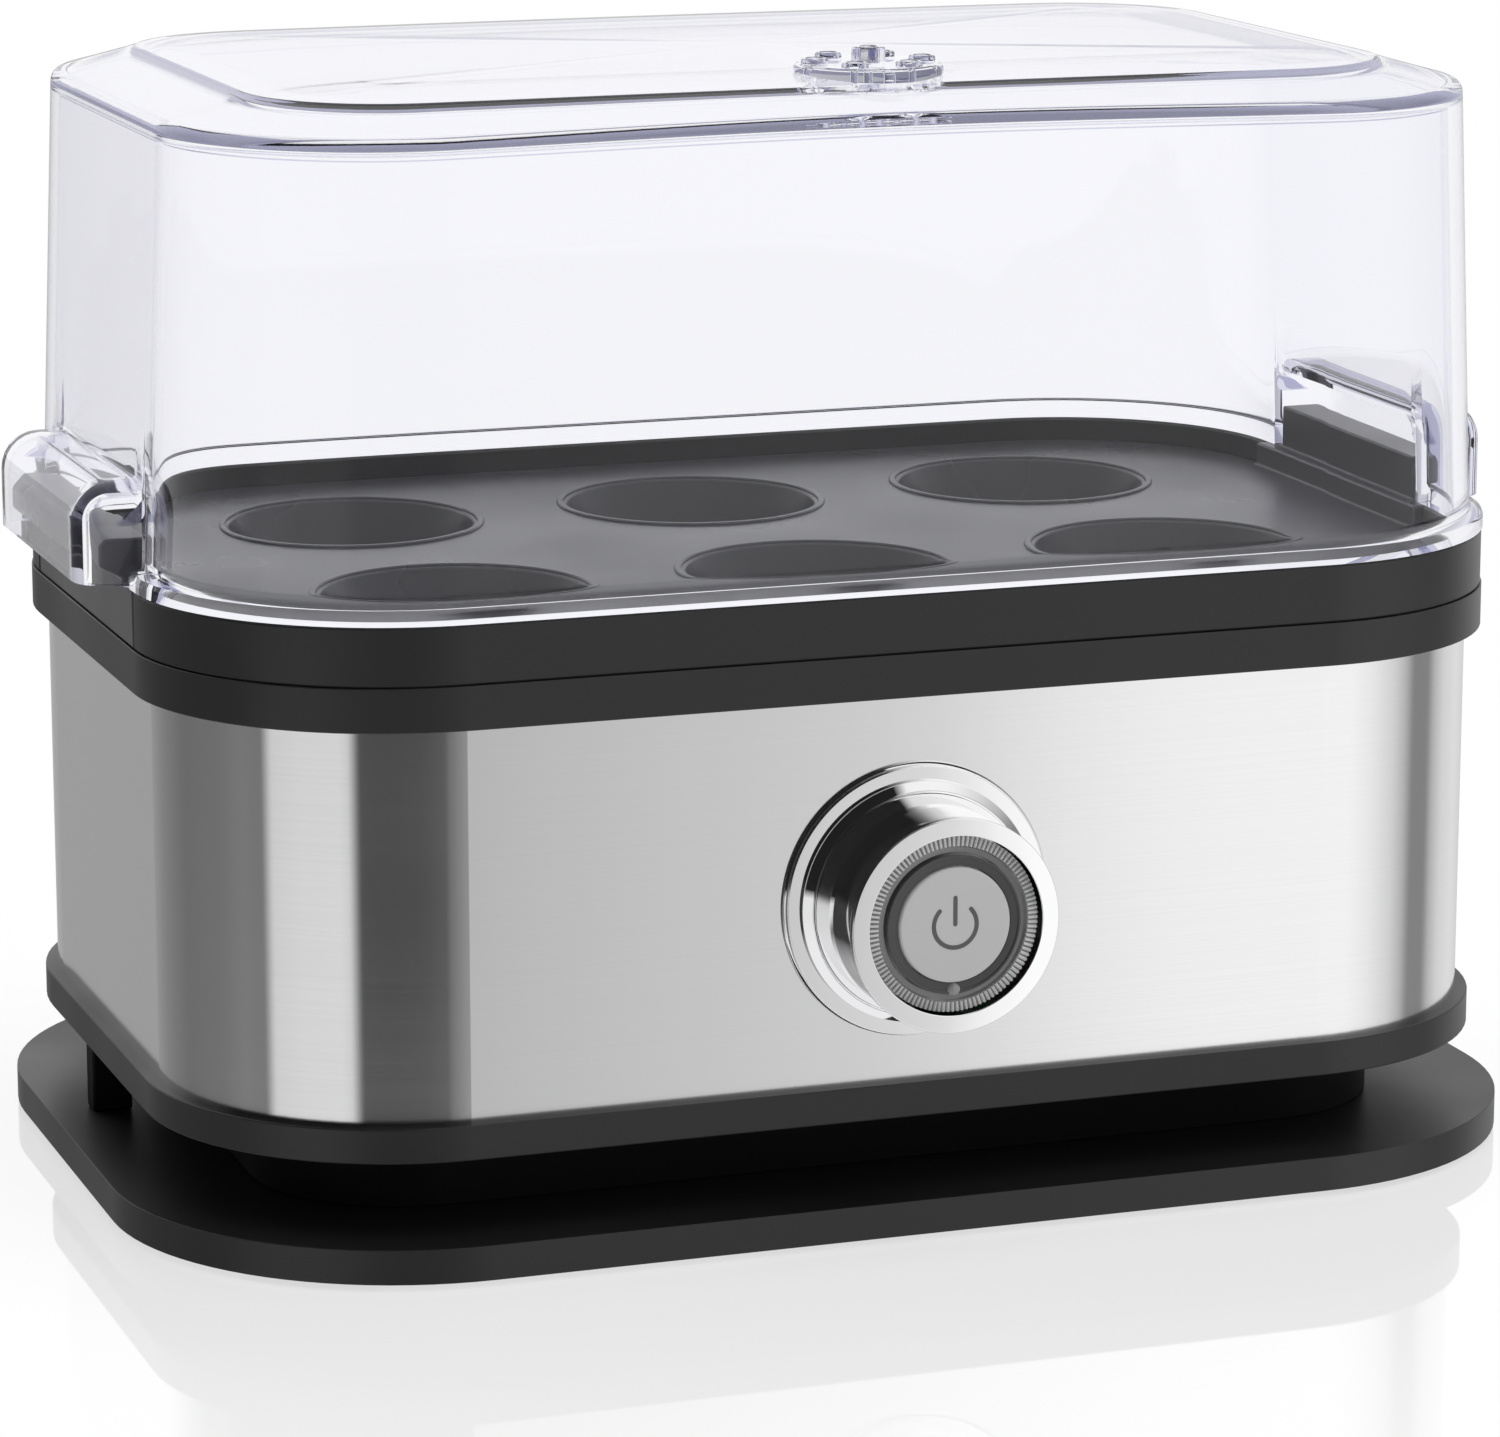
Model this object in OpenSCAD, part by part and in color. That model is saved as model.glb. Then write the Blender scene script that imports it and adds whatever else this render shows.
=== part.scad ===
// Six-egg steam cooker: a steel-banded base with a water dish and a heating element,
// a lift-out egg tray, a clear lid with moulded grips, and a lit push-button knob.
// +X is the right-hand end, -Y the front, and Z = 0 the surface that the feet stand on.

/* [Body] */
// Width of the steel band, end to end
body_w = 182; // [174:1:220]
// Depth of the steel band, front to back
body_d = 120.8; // [116:0.2:150]
// Corner radius of the steel band in plan
body_r = 32.5; // [30:0.5:36]
// Thickness of the steel band
steel_t = 0.6; // [0.4:0.1:1]
// Height of the band that shows between the skirt and the rim
band_h = 51.1; // [50:0.1:70]
// Wall of the moulded housing
wall = 2; // [1.6:0.1:2.4]
// Gap between mouldings that slide over one another
fit_gap = 0.15; // [0.05:0.01:0.3]

/* [Base] */
// How far the rubber feet stand out below the plinth
foot_proud = 0.8; // [0.5:0.1:2]
// Radius of a rubber foot
foot_r = 7; // [5:0.5:9]
// Depth of the recess that holds a foot
foot_sunk = 1.2; // [0.8:0.1:1.6]
// Thickness of the plinth
plinth_t = 4.6; // [4.2:0.1:7]
// How far the plinth reaches past the steel
plinth_out = 6.3; // [4:0.1:10]
// Corner radius of the plinth in plan
plinth_r = 40; // [34:0.5:46]
// Top skin of the hollow plinth
plinth_skin = 2.2; // [1.8:0.1:2.6]
// Height of the cord-winding channel between the plinth and the skirt
channel_h = 9.9; // [9.8:0.1:14]
// How far the core inside the channel lies behind the steel
core_in = 12; // [10:0.5:18]
// Height of the skirt under the steel
skirt_h = 4.6; // [4:0.1:8]
// How far the skirt reaches past the steel
skirt_out = 1.7; // [1:0.1:3]
// Width and depth of a post that keeps the cord in the channel
cord_post = [5.4, 4]; // [3:0.1:8]
// Distance of a cord post from the middle line, front to back
cord_post_y = 10; // [0:0.5:20]

/* [Rim] */
// Height of the lower black ring
rim_low_h = 5.7; // [5:0.1:8]
// How far the lower ring reaches past the steel
rim_low_out = 2.15; // [1.6:0.05:3]
// Height of the upper black ring
rim_up_h = 7.7; // [7:0.1:10]
// How far the upper ring reaches past the steel
rim_up_out = 1.95; // [1.4:0.05:2.8]
// Half the length of the notch in each end of the upper ring
notch_y = 27.5; // [26:0.1:28]
// Width of the ledge that the tray rests on
ledge_w = 10.4; // [10:0.1:12]
// Thickness of that ledge
ledge_t = 2; // [1.6:0.1:2.4]

/* [Egg tray] */
// Number of egg seats along the width
seats_x = 3; // [2:1:3]
// Room between the dish's end walls and the outer seats
seat_room_x = 7.9; // [1:0.1:14]
// Room between the dish's long walls and the seats
seat_room_y = 1.3; // [0.6:0.1:6]
// Radius of a seat at the tray's surface
seat_r = 17.5; // [15:0.5:19]
// Radius of the open end of a seat's cup
seat_low_r = 13.4; // [11:0.1:14]
// Depth of a cup below the tray's surface
seat_h = 10.8; // [8:0.1:12]
// Thickness of the tray
tray_t = 1.6; // [1.2:0.1:2]
// How far the tray's surface lies below the top of the rim
tray_sunk = 3.2; // [2.6:0.1:3.8]
// Gap between the tray and the rim
tray_gap = 0.4; // [0.2:0.05:0.5]
// Half the length of a grip bar
grip_y = 22.6; // [18:0.1:23]
// Height of a grip bar above the rim
grip_h = 6; // [5:0.1:7]

/* [Lid] */
// Height of the lid from the rim to its top edge
lid_h = 60; // [50:0.5:80]
// Wall of the lid
lid_t = 2; // [1.6:0.1:2.4]
// Width of the flange round the lid's foot
lid_flange = 1.9; // [1.4:0.1:2.4]
// How far the walls lean in from foot to top edge
lid_lean = 2.3; // [1:0.1:4]
// Width of the sloped band round the top
band_w = 9.6; // [6:0.1:12]
// Height of that band
band_rise = 2.6; // [1:0.1:4]
// Height of the dome inside the band
dome_rise = 1.4; // [0.5:0.1:3]
// Extra height of the top edge at the middle of the front and back
edge_crown = 0.8; // [0:0.1:1.5]
// How far a grip wing reaches from the middle of the lid
wing_reach = 8.2; // [8:0.1:12]
// Half the length of a grip wing
wing_y = 25.5; // [25.2:0.1:26.5]
// Height of a grip wing
wing_h = 13; // [12:0.1:18]
// Rounding of a grip wing
wing_r = 5; // [4:0.1:5.4]
// Centre of the steam vent, from the middle of the lid
vent_pos = [3.2, -36.7]; // [-40:0.1:40]
// Radius of the vent's disc
vent_r = 9.7; // [9:0.1:12]
// Height of the disc above the lid at the vent
vent_h = 1.7; // [1:0.1:3]
// Number of small tubes round the vent
vent_tubes = 6; // [4:1:7]
// Radius of the ring of small tubes
vent_ring = 7.2; // [6.4:0.1:7.4]
// Outer radius of a small tube
vent_tube_r = 1.75; // [1.5:0.05:2]
// Radius of a steam hole
steam_r = 1.15; // [0.8:0.05:1.3]
// Outer radius of the middle tube
vent_mid_r = 2.2; // [1.8:0.1:2.6]

/* [Knob] */
// Distance of the knob's axis to the right of the middle
knob_x = 1.2; // [-6:0.1:6]
// Height of the knob's axis above the skirt
knob_up = 24.1; // [23:0.1:26]
// How far the knob stands out of the steel
knob_l = 15; // [13:0.1:18]
// Radius of the chrome flange
flange_r = 18.15; // [17.5:0.05:19]
// Thickness of the chrome flange
flange_t = 1.8; // [1.4:0.1:2.4]
// Radius of the barrel
barrel_r = 13.5; // [13.2:0.05:13.8]
// Radius of the barrel's foot where it meets the flange
barrel_foot_r = 15.2; // [14.6:0.05:16]
// Radius of the barrel's front lip
lip_r = 14; // [13.9:0.05:14.6]
// Radius of the barrel's bore
bore_r = 11.7; // [11.5:0.05:11.8]
// Outer radius of the dark ring round the button
bezel_r = 9.1; // [9:0.05:9.4]
// Radius of the button
button_r = 7.5; // [7:0.05:7.6]
// How far the button travels
button_travel = 2; // [1:0.1:2]
// Running gap round the button
button_gap = 0.12; // [0.1:0.01:0.2]
// Wire radius of the return spring
spring_wire = 0.35; // [0.25:0.05:0.45]
// Coil radius of the return spring
spring_r = 3.8; // [3.4:0.1:4.2]

/* [Heating] */
// Depth of the water dish
dish_depth = 13; // [11:0.5:14]
// Sheet thickness of the dish
dish_t = 0.8; // [0.6:0.1:1]
// Thickness of the seal under the dish's flange
seal_t = 0.8; // [0.6:0.1:1.2]
// Radius of the element's tube
element_r = 3.2; // [2.8:0.1:3.6]
// Distance between the element's two legs
element_pitch = 44; // [36:1:60]
// Room between the dish's end wall and the element's bend
element_room = 10.6; // [6:0.1:20]
// Room between the other end wall and the ends of the element's legs, for the leads
element_end_room = 23.8; // [22:0.1:34]

/* [Inside] */
// Radius of a self-tapping screw's shank
screw_r = 1.5; // [1.3:0.1:1.7]
// Radius of a screw's head
screw_head_r = 2.9; // [2.6:0.1:3.2]
// Height of a screw's head
screw_head_h = 1.6; // [1.4:0.1:1.8]
// Outer radius of a screw column
column_r = 4; // [3.6:0.1:4.4]
// Bore of the cord gland
gland_bore_r = 3.2; // [2.8:0.1:3.3]
// Radius of a lead
lead_r = 0.9; // [0.7:0.1:1.1]
// Distance from the cord's bush to the middle of the terminal block
block_back = 38; // [30:1:44]
// Free length of an element lead before it reaches its blade
lead_slack = 6; // [4:0.5:8]

/* [Hidden] */
$fn = 64;

seat_gap = 0.05;     // gap between a loose piece and the face it rests on
edge_round = 0.45 * flange_t; // rounding of the knob flange's rim
over = 1;            // how far a cutting shape runs past the face that it cuts

// Levels, from the floor up
z_plinth = foot_proud;
z_channel = z_plinth + plinth_t;
z_skirt = z_channel + channel_h;
z_band = z_skirt + skirt_h;
z_rim = z_band + band_h;
z_seam = z_rim + rim_low_h;
z_top = z_seam + rim_up_h;
floor_t = 2.4;
z_floor = z_skirt + floor_t;
flange_sheet = 0.6;
z_plate_ledge = z_seam - flange_sheet - seal_t;
plate_ledge_t = 2.2;
z_dish = z_seam - dish_depth;
z_tray = z_top - tray_sunk;
z_ledge = z_seam + ledge_t;
band_tuck = 3;       // how far the steel reaches up into the rim
upstand_h = 4;       // height of the upstand that centres the main housing
column_h = 14;       // height of a screw column above the floor
rib_t = 2;

// Offsets from the outside of the steel, inwards negative
liner_out = -steel_t - fit_gap;
liner_in = liner_out - wall;
rim_in = -2.1;
ledge_in = rim_in - ledge_w;
tray_out = rim_in - tray_gap;
plate_out = ledge_in + 2.5;
dish_out = ledge_in - 0.7;

// Origin: the middle of the whole object's footprint, knob included
frame_y = (knob_l - plinth_out) / 2;

// Screw and foot positions
foot_at = [body_w / 2 + plinth_out - 22, body_d / 2 + plinth_out - 22];
housing_screw_at = [body_w / 2 - core_in - 8.5, 14];
plinth_screw_at = [body_w / 2 - core_in - 22, body_d / 2 - core_in - 8.5];
rim_post_r = 2.4;
corner_reach = (body_r + ledge_in / 2) / sqrt(2);
rim_screw_at = [body_w / 2 - body_r + corner_reach, body_d / 2 - body_r + corner_reach];
pilot_gap = 0.03;    // a screw's clearance in its pilot hole
through_gap = 0.3;   // a screw's clearance in a hole that it passes through

// Knob: distances are measured along its axis from the steel's face, outwards positive
z_knob = z_band + knob_up;
tail_r = bore_r + 1.2;
nut_t = 3;
tail_l = -liner_in + nut_t + 1.2;
board_face = liner_in - 7.2;
board_t = 1.6;
ring_front = knob_l - 1;
bezel_front = knob_l - 0.8;
button_front = knob_l - 0.5;
button_t = 3;
ring_gap = 0.08;
spring_seat = 3;
switch_h = 4.4;
switch_w = 11;
switch_face = board_face + switch_h;
stem_end = switch_face + button_travel + 0.35;
stem_r = 2.3;
board_half_w = 31;
board_low = -17;
board_high = 15;
board_hole = [26, 11.6];

// Cord entry, terminal block and leads
gland_x = body_w / 2 - core_in - 34;
gland_r = gland_bore_r + 1.2;
gland_lip = 0.4;
core_y = body_d / 2 - core_in;
z_gland = z_channel + channel_h / 2;
block = [22, 14, 11];
block_at = [gland_x, core_y - block_back];
core_wall = 2.4;
lead_hole = [gland_x, core_y - 16];
lead_spread = 6;

// Body-centred drawing, moved so that the footprint's middle is the origin
module placed() translate([0, frame_y, 0]) children();

// Rounded rectangle
module plan(w, d, r) {
    square([w - 2 * r, d], center = true);
    square([w, d - 2 * r], center = true);
    for (x = [-1, 1], y = [-1, 1])
        translate([x * (w / 2 - r), y * (d / 2 - r)]) circle(r);
}

// The steel's outline grown by o
module body_plan(o) plan(body_w + 2 * o, body_d + 2 * o, body_r + o);

// A solid block of that outline, and a ring between two of them
module body_slab(o, z0, z1) translate([0, 0, z0]) linear_extrude(z1 - z0) body_plan(o);
module body_ring(o_out, o_in, z0, z1)
    translate([0, 0, z0]) linear_extrude(z1 - z0) difference() {
        body_plan(o_out);
        body_plan(o_in);
    }

// The same shape in all four quarters
module quarters(at) for (x = [-1, 1], y = [-1, 1]) translate([x * at[0], y * at[1], 0]) children();

// Self-tapping screw, head down, with its bearing face at z = 0 and a cross slot
slot_w = 0.7;
slot_depth = 0.9;
module screw(shank_l) {
    difference() {
        translate([0, 0, -screw_head_h]) cylinder(r = screw_head_r, h = screw_head_h);
        for (a = [0, 90]) rotate(a)
            translate([-0.6 * screw_head_r, -slot_w / 2, -screw_head_h - over])
                cube([1.2 * screw_head_r, slot_w, over + slot_depth]);
    }
    cylinder(r = screw_r, h = shank_l);
}

// Local Z runs out of the front of the body along the knob's axis
module on_knob_axis() translate([knob_x, -body_d / 2, z_knob]) rotate([90, 0, 0]) children();

// A tube between two radii and two heights
module pipe(r_out, r_in, z0, z1) translate([0, 0, z0]) difference() {
    cylinder(r = r_out, h = z1 - z0);
    translate([0, 0, -over]) cylinder(r = r_in, h = z1 - z0 + 2 * over);
}

// ---- Base ----

module plinth() color("#1b1b1c") placed() difference() {
    translate([0, 0, z_plinth]) linear_extrude(plinth_t)
        plan(body_w + 2 * plinth_out, body_d + 2 * plinth_out, plinth_r);
    // hollow underside, with pads left round the feet and the screws
    difference() {
        translate([0, 0, z_plinth - over]) linear_extrude(plinth_t - plinth_skin + over)
            plan(body_w + 2 * (plinth_out - wall), body_d + 2 * (plinth_out - wall), plinth_r - wall);
        quarters(foot_at) cylinder(r = foot_r + wall, h = z_channel);
        quarters(plinth_screw_at) cylinder(r = screw_head_r + wall, h = z_channel);
    }
    quarters(foot_at) cylinder(r = foot_r + fit_gap, h = z_plinth + foot_sunk);
    quarters(plinth_screw_at) {
        cylinder(r = screw_head_r + through_gap, h = z_plinth + screw_head_h + 0.3);
        cylinder(r = screw_r + through_gap, h = z_channel + over);
    }
}

module foot(x, y) color("#2a2a2a") placed() translate([x * foot_at[0], y * foot_at[1], 0])
    cylinder(r = foot_r, h = foot_proud + foot_sunk);

module foot_front_left() foot(-1, -1);
module foot_front_right() foot(1, -1);
module foot_rear_left() foot(-1, 1);
module foot_rear_right() foot(1, 1);

// Post between the plinth and the skirt that the wound cord lies behind
module cord_post(side) color("#1e1e1f") placed()
    translate([side * (body_w / 2 - 2) - cord_post[0] / 2, cord_post_y - cord_post[1] / 2, z_channel])
        cube([cord_post[0], cord_post[1], channel_h]);

module cord_post_left() cord_post(-1);
module cord_post_right() cord_post(1);

module bottom_housing() color("#232324") placed() difference() {
    union() {
        body_slab(skirt_out, z_skirt, z_floor);
        body_ring(skirt_out, liner_in - 0.6, z_skirt, z_band);
        // upstand that centres the main housing
        body_ring(liner_in - fit_gap, liner_in - fit_gap - 1.6, z_skirt, z_band + upstand_h);
        // core that the cord winds round
        body_ring(-core_in, -core_in - core_wall, z_channel, z_floor);
        quarters(plinth_screw_at) translate([0, 0, z_channel]) cylinder(r = column_r, h = channel_h + 1);
    }
    quarters(plinth_screw_at) translate([0, 0, z_channel - over])
        cylinder(r = screw_r + pilot_gap, h = channel_h + over - 1);
    quarters(housing_screw_at) translate([0, 0, z_skirt - over])
        cylinder(r = screw_r + through_gap, h = floor_t + 2 * over);
    translate([lead_hole[0], lead_hole[1], z_skirt - over]) cylinder(r = 6, h = floor_t + 2 * over);
    translate([gland_x, core_y + over, z_gland]) rotate([90, 0, 0])
        cylinder(r = gland_r + fit_gap, h = core_wall + 2 * over);
}

module steel_band() color("#c9cacb") placed() difference() {
    body_ring(0, -steel_t, z_band, z_rim + band_tuck);
    on_knob_axis() translate([0, 0, -wall]) cylinder(r = tail_r + fit_gap, h = 2 * wall);
}

// Liner inside the steel, with the lower black ring and the ledge for the heating plate
module main_housing() color("#242425") placed() difference() {
    union() {
        body_ring(liner_out, liner_in, z_band, z_rim + 0.5);
        difference() {
            body_ring(rim_low_out, liner_in, z_rim, z_seam);
            body_ring(fit_gap, -steel_t - fit_gap, z_rim - over, z_rim + band_tuck + fit_gap);
        }
        body_ring(liner_in + 0.5, dish_out + 0.3, z_plate_ledge - plate_ledge_t, z_plate_ledge);
        quarters(housing_screw_at) translate([0, 0, z_floor]) cylinder(r = column_r, h = column_h);
        // ribs that tie the screw columns to the end walls
        for (x = [0, 1], y = [-1, 1]) mirror([x, 0, 0])
            translate([housing_screw_at[0], y * housing_screw_at[1] - rib_t / 2, z_band + upstand_h + 1])
                cube([body_w / 2 + liner_in + 0.5 - housing_screw_at[0], rib_t, 10]);
        on_knob_axis() quarters(board_hole) translate([0, 0, board_face])
            cylinder(r = 3.2, h = liner_out - 0.5 - board_face);
    }
    quarters(housing_screw_at) translate([0, 0, z_floor - over])
        cylinder(r = screw_r + pilot_gap, h = column_h - 2 + over);
    on_knob_axis() translate([0, 0, liner_in - over]) cylinder(r = tail_r + fit_gap, h = wall + 2 * over);
    on_knob_axis() quarters(board_hole) translate([0, 0, board_face - over])
        cylinder(r = screw_r + pilot_gap, h = 5 + over);
    quarters(rim_screw_at) translate([0, 0, z_plate_ledge - plate_ledge_t - over])
        cylinder(r = rim_post_r + fit_gap, h = plate_ledge_t + 2 * over);
}

// Upper black ring: carries the tray on its ledge and clamps the flange of the heating plate
module upper_rim() color("#262627") placed() difference() {
    union() {
        body_ring(rim_up_out, rim_in, z_seam, z_top);
        body_ring(rim_in + 0.5, ledge_in, z_seam, z_ledge);
        quarters(rim_screw_at) translate([0, 0, z_plate_ledge - plate_ledge_t])
            cylinder(r = rim_post_r, h = z_seam - z_plate_ledge + plate_ledge_t + 0.5);
    }
    // notches for the tray's end tabs
    for (x = [0, 1]) mirror([x, 0, 0]) translate([body_w / 2 + rim_in, -notch_y, z_seam])
        cube([rim_up_out - rim_in + over, 2 * notch_y, rim_up_h + over]);
    quarters(rim_screw_at) translate([0, 0, z_plate_ledge - plate_ledge_t - over])
        cylinder(r = screw_r + pilot_gap, h = z_ledge - 0.6 - z_plate_ledge + plate_ledge_t + over);
}

// ---- Water dish and what heats it ----

module plate_seal() color("#8f8f8f") placed()
    body_ring(plate_out, dish_out + 0.3, z_plate_ledge, z_plate_ledge + seal_t);

module heating_plate() color("#d4d4d2") placed() {
    body_ring(plate_out, dish_in, z_seam - flange_sheet, z_seam);
    body_ring(dish_out, dish_in, z_dish, z_seam);
    body_slab(dish_out, z_dish, z_dish + dish_t);
}

z_element = z_dish - seat_gap - element_r;
element_turn_x = element_room + element_pitch / 2 + element_r - body_w / 2 - dish_out;
element_end_x = body_w / 2 + dish_out - element_end_room;
element_l = element_end_x - element_turn_x;

// U-shaped tube brazed under the dish
module heating_element() color("#9a9c9e") placed() translate([0, 0, z_element]) {
    for (y = [-1, 1]) translate([element_turn_x, y * element_pitch / 2, 0]) rotate([0, 90, 0])
        cylinder(r = element_r, h = element_l);
    translate([element_turn_x, 0, 0]) rotate(90) rotate_extrude(angle = 180)
        translate([element_pitch / 2, 0]) circle(r = element_r);
}

bush_l = 3;
blade_l = 8;
blade_w = 6.3;
blade_t = 0.8;
// Insulated cold end and push-on blade of each leg
module element_terminals() color("#e8e6df") placed()
    for (y = [-1, 1]) translate([element_end_x, y * element_pitch / 2, z_element]) {
        rotate([0, 90, 0]) cylinder(r = element_r - 0.8, h = bush_l);
        translate([bush_l - 0.1, -blade_w / 2, -blade_t / 2]) cube([blade_l, blade_w, blade_t]);
    }

thermostat_r = 8;
thermostat_h = 5;
blade_gap = 10;
z_thermostat = z_dish - seat_gap - thermostat_h;
module thermostat() color("#b9b2a3") placed() translate([0, 0, z_thermostat]) {
    cylinder(r = thermostat_r, h = thermostat_h);
    for (x = [-1, 1]) translate([(x * blade_gap - blade_t) / 2, -blade_w / 2, -7])
        cube([blade_t, blade_w, 7.1]);
}

// Strap that holds the thermostat up against the dish, its feet welded to the dish
strap_l = 28;
strap_w = 10;
strap_t = 1;
z_strap = z_thermostat - seat_gap - strap_t;
module thermostat_bracket() color("#c4c6c8") placed() difference() {
    union() {
        translate([-strap_l / 2, -strap_w / 2, z_strap]) cube([strap_l, strap_w, strap_t]);
        for (x = [0, 1]) mirror([x, 0, 0]) translate([strap_l / 2 - strap_t, -strap_w / 2, z_strap])
            cube([strap_t, strap_w, z_dish - z_strap]);
    }
    // window that the thermostat's blades hang through
    translate([-blade_gap / 2 - 1.4, 1 - strap_w / 2, z_strap - over])
        cube([blade_gap + 2.8, strap_w - 2, strap_t + 2 * over]);
}

// Fuse that lies along the underside of the dish, with a wire out of each end
fuse_at = [-34, 6];
fuse_r = 2;
fuse_l = 11;
fuse_wire_l = 6;
module thermal_fuse() color("#ded9cc") placed() translate([fuse_at[0], fuse_at[1], z_dish - 0.3 - fuse_r])
    rotate([0, 90, 0]) {
        cylinder(r = fuse_r, h = fuse_l);
        translate([0, 0, -fuse_wire_l]) cylinder(r = 0.6, h = fuse_l + 2 * fuse_wire_l);
    }

earth_at = [30, 6];
stud_h = 9;
module earth_stud() color("#cfae5c") placed() translate([earth_at[0], earth_at[1], z_dish - stud_h]) {
    cylinder(r = 2, h = stud_h);
    translate([0, 0, 2]) cylinder(r = 3.8, h = 3, $fn = 6);
}

// ---- Egg tray ----

seat_slope = (seat_r - seat_low_r) / seat_h;
dish_in = dish_out - dish_t;
pitch_x = (body_w + 2 * (dish_in - seat_room_x - seat_r - tray_t)) / (seats_x - 1);
pitch_y = body_d + 2 * (dish_in - seat_room_y - seat_r - tray_t);
grip_out = wing_reach - lid_t - 1.2;

// The same shape at each egg seat, two rows deep
module seats() for (i = [0 : seats_x - 1], y = [-1, 1])
    translate([(i - (seats_x - 1) / 2) * pitch_x, y * pitch_y / 2, z_tray - seat_h]) children();

// Tab that fills the notch in the rim, with the grip bar on top
module tray_end() {
    translate([body_w / 2 + tray_out - 1, tray_gap - notch_y, z_ledge + seat_gap])
        cube([rim_up_out - tray_out + 1, 2 * (notch_y - tray_gap), z_top - z_ledge - seat_gap]);
    translate([body_w / 2 + rim_in + tray_gap, tray_gap - notch_y, z_seam + seat_gap])
        cube([rim_up_out - rim_in - tray_gap, 2 * (notch_y - tray_gap), ledge_t + 1]);
    rotate([90, 0, 0]) linear_extrude(2 * grip_y, center = true) polygon([
        [body_w / 2 - 1.5, z_top - 0.5],
        [body_w / 2 + rim_up_out, z_top - 0.5],
        [body_w / 2 + rim_up_out, z_top + 0.6],
        [body_w / 2 + grip_out, z_top + 2.4],
        [body_w / 2 + grip_out, z_top + grip_h - 0.8],
        [body_w / 2 + grip_out - 0.8, z_top + grip_h],
        [body_w / 2 - 1.5, z_top + grip_h]]);
}

module egg_tray() color("#3b3b3e") placed() difference() {
    union() {
        body_slab(tray_out, z_tray - tray_t, z_tray);
        body_ring(tray_out, tray_out - 2, z_ledge + seat_gap, z_tray);
        seats() cylinder(r1 = seat_low_r + tray_t, r2 = seat_r + tray_t, h = seat_h);
        tray_end();
        mirror([1, 0, 0]) tray_end();
    }
    seats() translate([0, 0, -over])
        cylinder(r1 = seat_low_r - seat_slope * over, r2 = seat_r + seat_slope * over, h = seat_h + 2 * over);
}

// ---- Lid ----

z_lid = z_top + seat_gap;
lid_foot = rim_up_out - lid_flange + 0.15;
lid_head = lid_foot - lid_lean;
edge_round_in = 1.5;
band_in = lid_head - edge_round_in - band_w;
dome_left = body_r + band_in;
corner_steps = 10;
side_steps = 8;

// How much of the extra edge height a point has, from its place along the width
function crown(x) = let (u = x / (0.41 * body_w)) abs(u) < 1 ? edge_crown * pow(1 - u * u, 2) : 0;

function arc(cx, cy, r, from) = [for (i = [0 : corner_steps])
    let (a = from + 90 * i / corner_steps) [cx + r * cos(a), cy + r * sin(a)]];

// Points between two corners of a long side
function side(x, y, way) = [for (i = [1 : side_steps - 1]) [way * x * (1 - 2 * i / side_steps), y]];

// One closed outline of the lid at offset o from the steel and height z, with share k of the crown
function lid_ring(o, z, k) =
    let (x = body_w / 2 - body_r, y = body_d / 2 - body_r, r = body_r + o)
    [for (p = concat(arc(x, y, r, 0), side(x, y + r, 1), arc(-x, y, r, 90),
                     arc(-x, -y, r, 180), side(x, -y - r, -1), arc(x, -y, r, 270)))
        [p[0], p[1], z_lid + z + k * crown(p[0])]];

// Wall from its foot up to the dome, each entry an offset, a height and a share of the crown
function lid_wall(t) = [
    [lid_head - t, lid_h - t - 1.5, 1],
    [lid_head - t - 0.5, lid_h - t - 0.45, 1],
    [lid_head - t - edge_round_in, lid_h - t, 1],
    [band_in - t, lid_h + band_rise - t, 0.2],
    [band_in - 0.4 * dome_left, lid_h + band_rise + 0.6 * dome_rise - t, 0],
    [band_in - 0.8 * dome_left, lid_h + band_rise + 0.95 * dome_rise - t, 0]];
lid_outside = concat([
    [lid_foot + lid_flange, 0, 0],
    [lid_foot + lid_flange, 1.5, 0],
    [lid_foot + lid_flange - 0.7, 2.3, 0],
    [lid_foot + 0.3, 2.4, 0],
    [lid_foot, 2.8, 0]], lid_wall(0));
lid_inside = concat([[lid_foot - lid_t, 0, 0]], lid_wall(lid_t));

module lid_shell() {
    inner = [for (i = [len(lid_inside) - 1 : -1 : 0]) lid_inside[i]];
    profile = concat(inner, lid_outside);
    rings = [for (p = profile) lid_ring(p[0], p[1], p[2])];
    n = len(rings[0]);
    m = len(rings);
    tip = lid_h + band_rise + dome_rise;
    points = concat([for (r = rings) each r], [[0, 0, z_lid + tip - lid_t], [0, 0, z_lid + tip]]);
    walls = [for (j = [0 : m - 2], i = [0 : n - 1]) let (a = j * n + i, b = j * n + (i + 1) % n)
        each [[a, b + n, b], [a, a + n, b + n]]];
    inner_cap = [for (i = [0 : n - 1]) [m * n, i, (i + 1) % n]];
    outer_cap = [for (i = [0 : n - 1]) [m * n + 1, (m - 1) * n + (i + 1) % n, (m - 1) * n + i]];
    polyhedron(points, concat(walls, inner_cap, outer_cap));
}

// Grip wing grown inwards by t, from x_in out to its rounded outer edge
module wing(t, x_in, z_low) {
    r = wing_r - t;
    x_out = body_w / 2 + wing_reach - t - r;
    z_up = z_lid + wing_h - t - r;
    hull() for (s = [-1, 1]) {
        y = s * (wing_y - t - r);
        translate([x_out, y, z_up]) sphere(r = r, $fn = 28);
        translate([x_out, y, z_low]) cylinder(r = r, h = 1, $fn = 28);
        translate([x_in, y, z_up]) rotate([0, 90, 0]) cylinder(r = r, h = 0.5, $fn = 28);
        translate([x_in, y - r, z_low]) cube([0.5, 2 * r, 1]);
    }
}

z_disc = z_lid + lid_h + band_rise + 0.5 + vent_h;
function vent_angle(i) = 360 * i / vent_tubes - 4;

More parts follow.
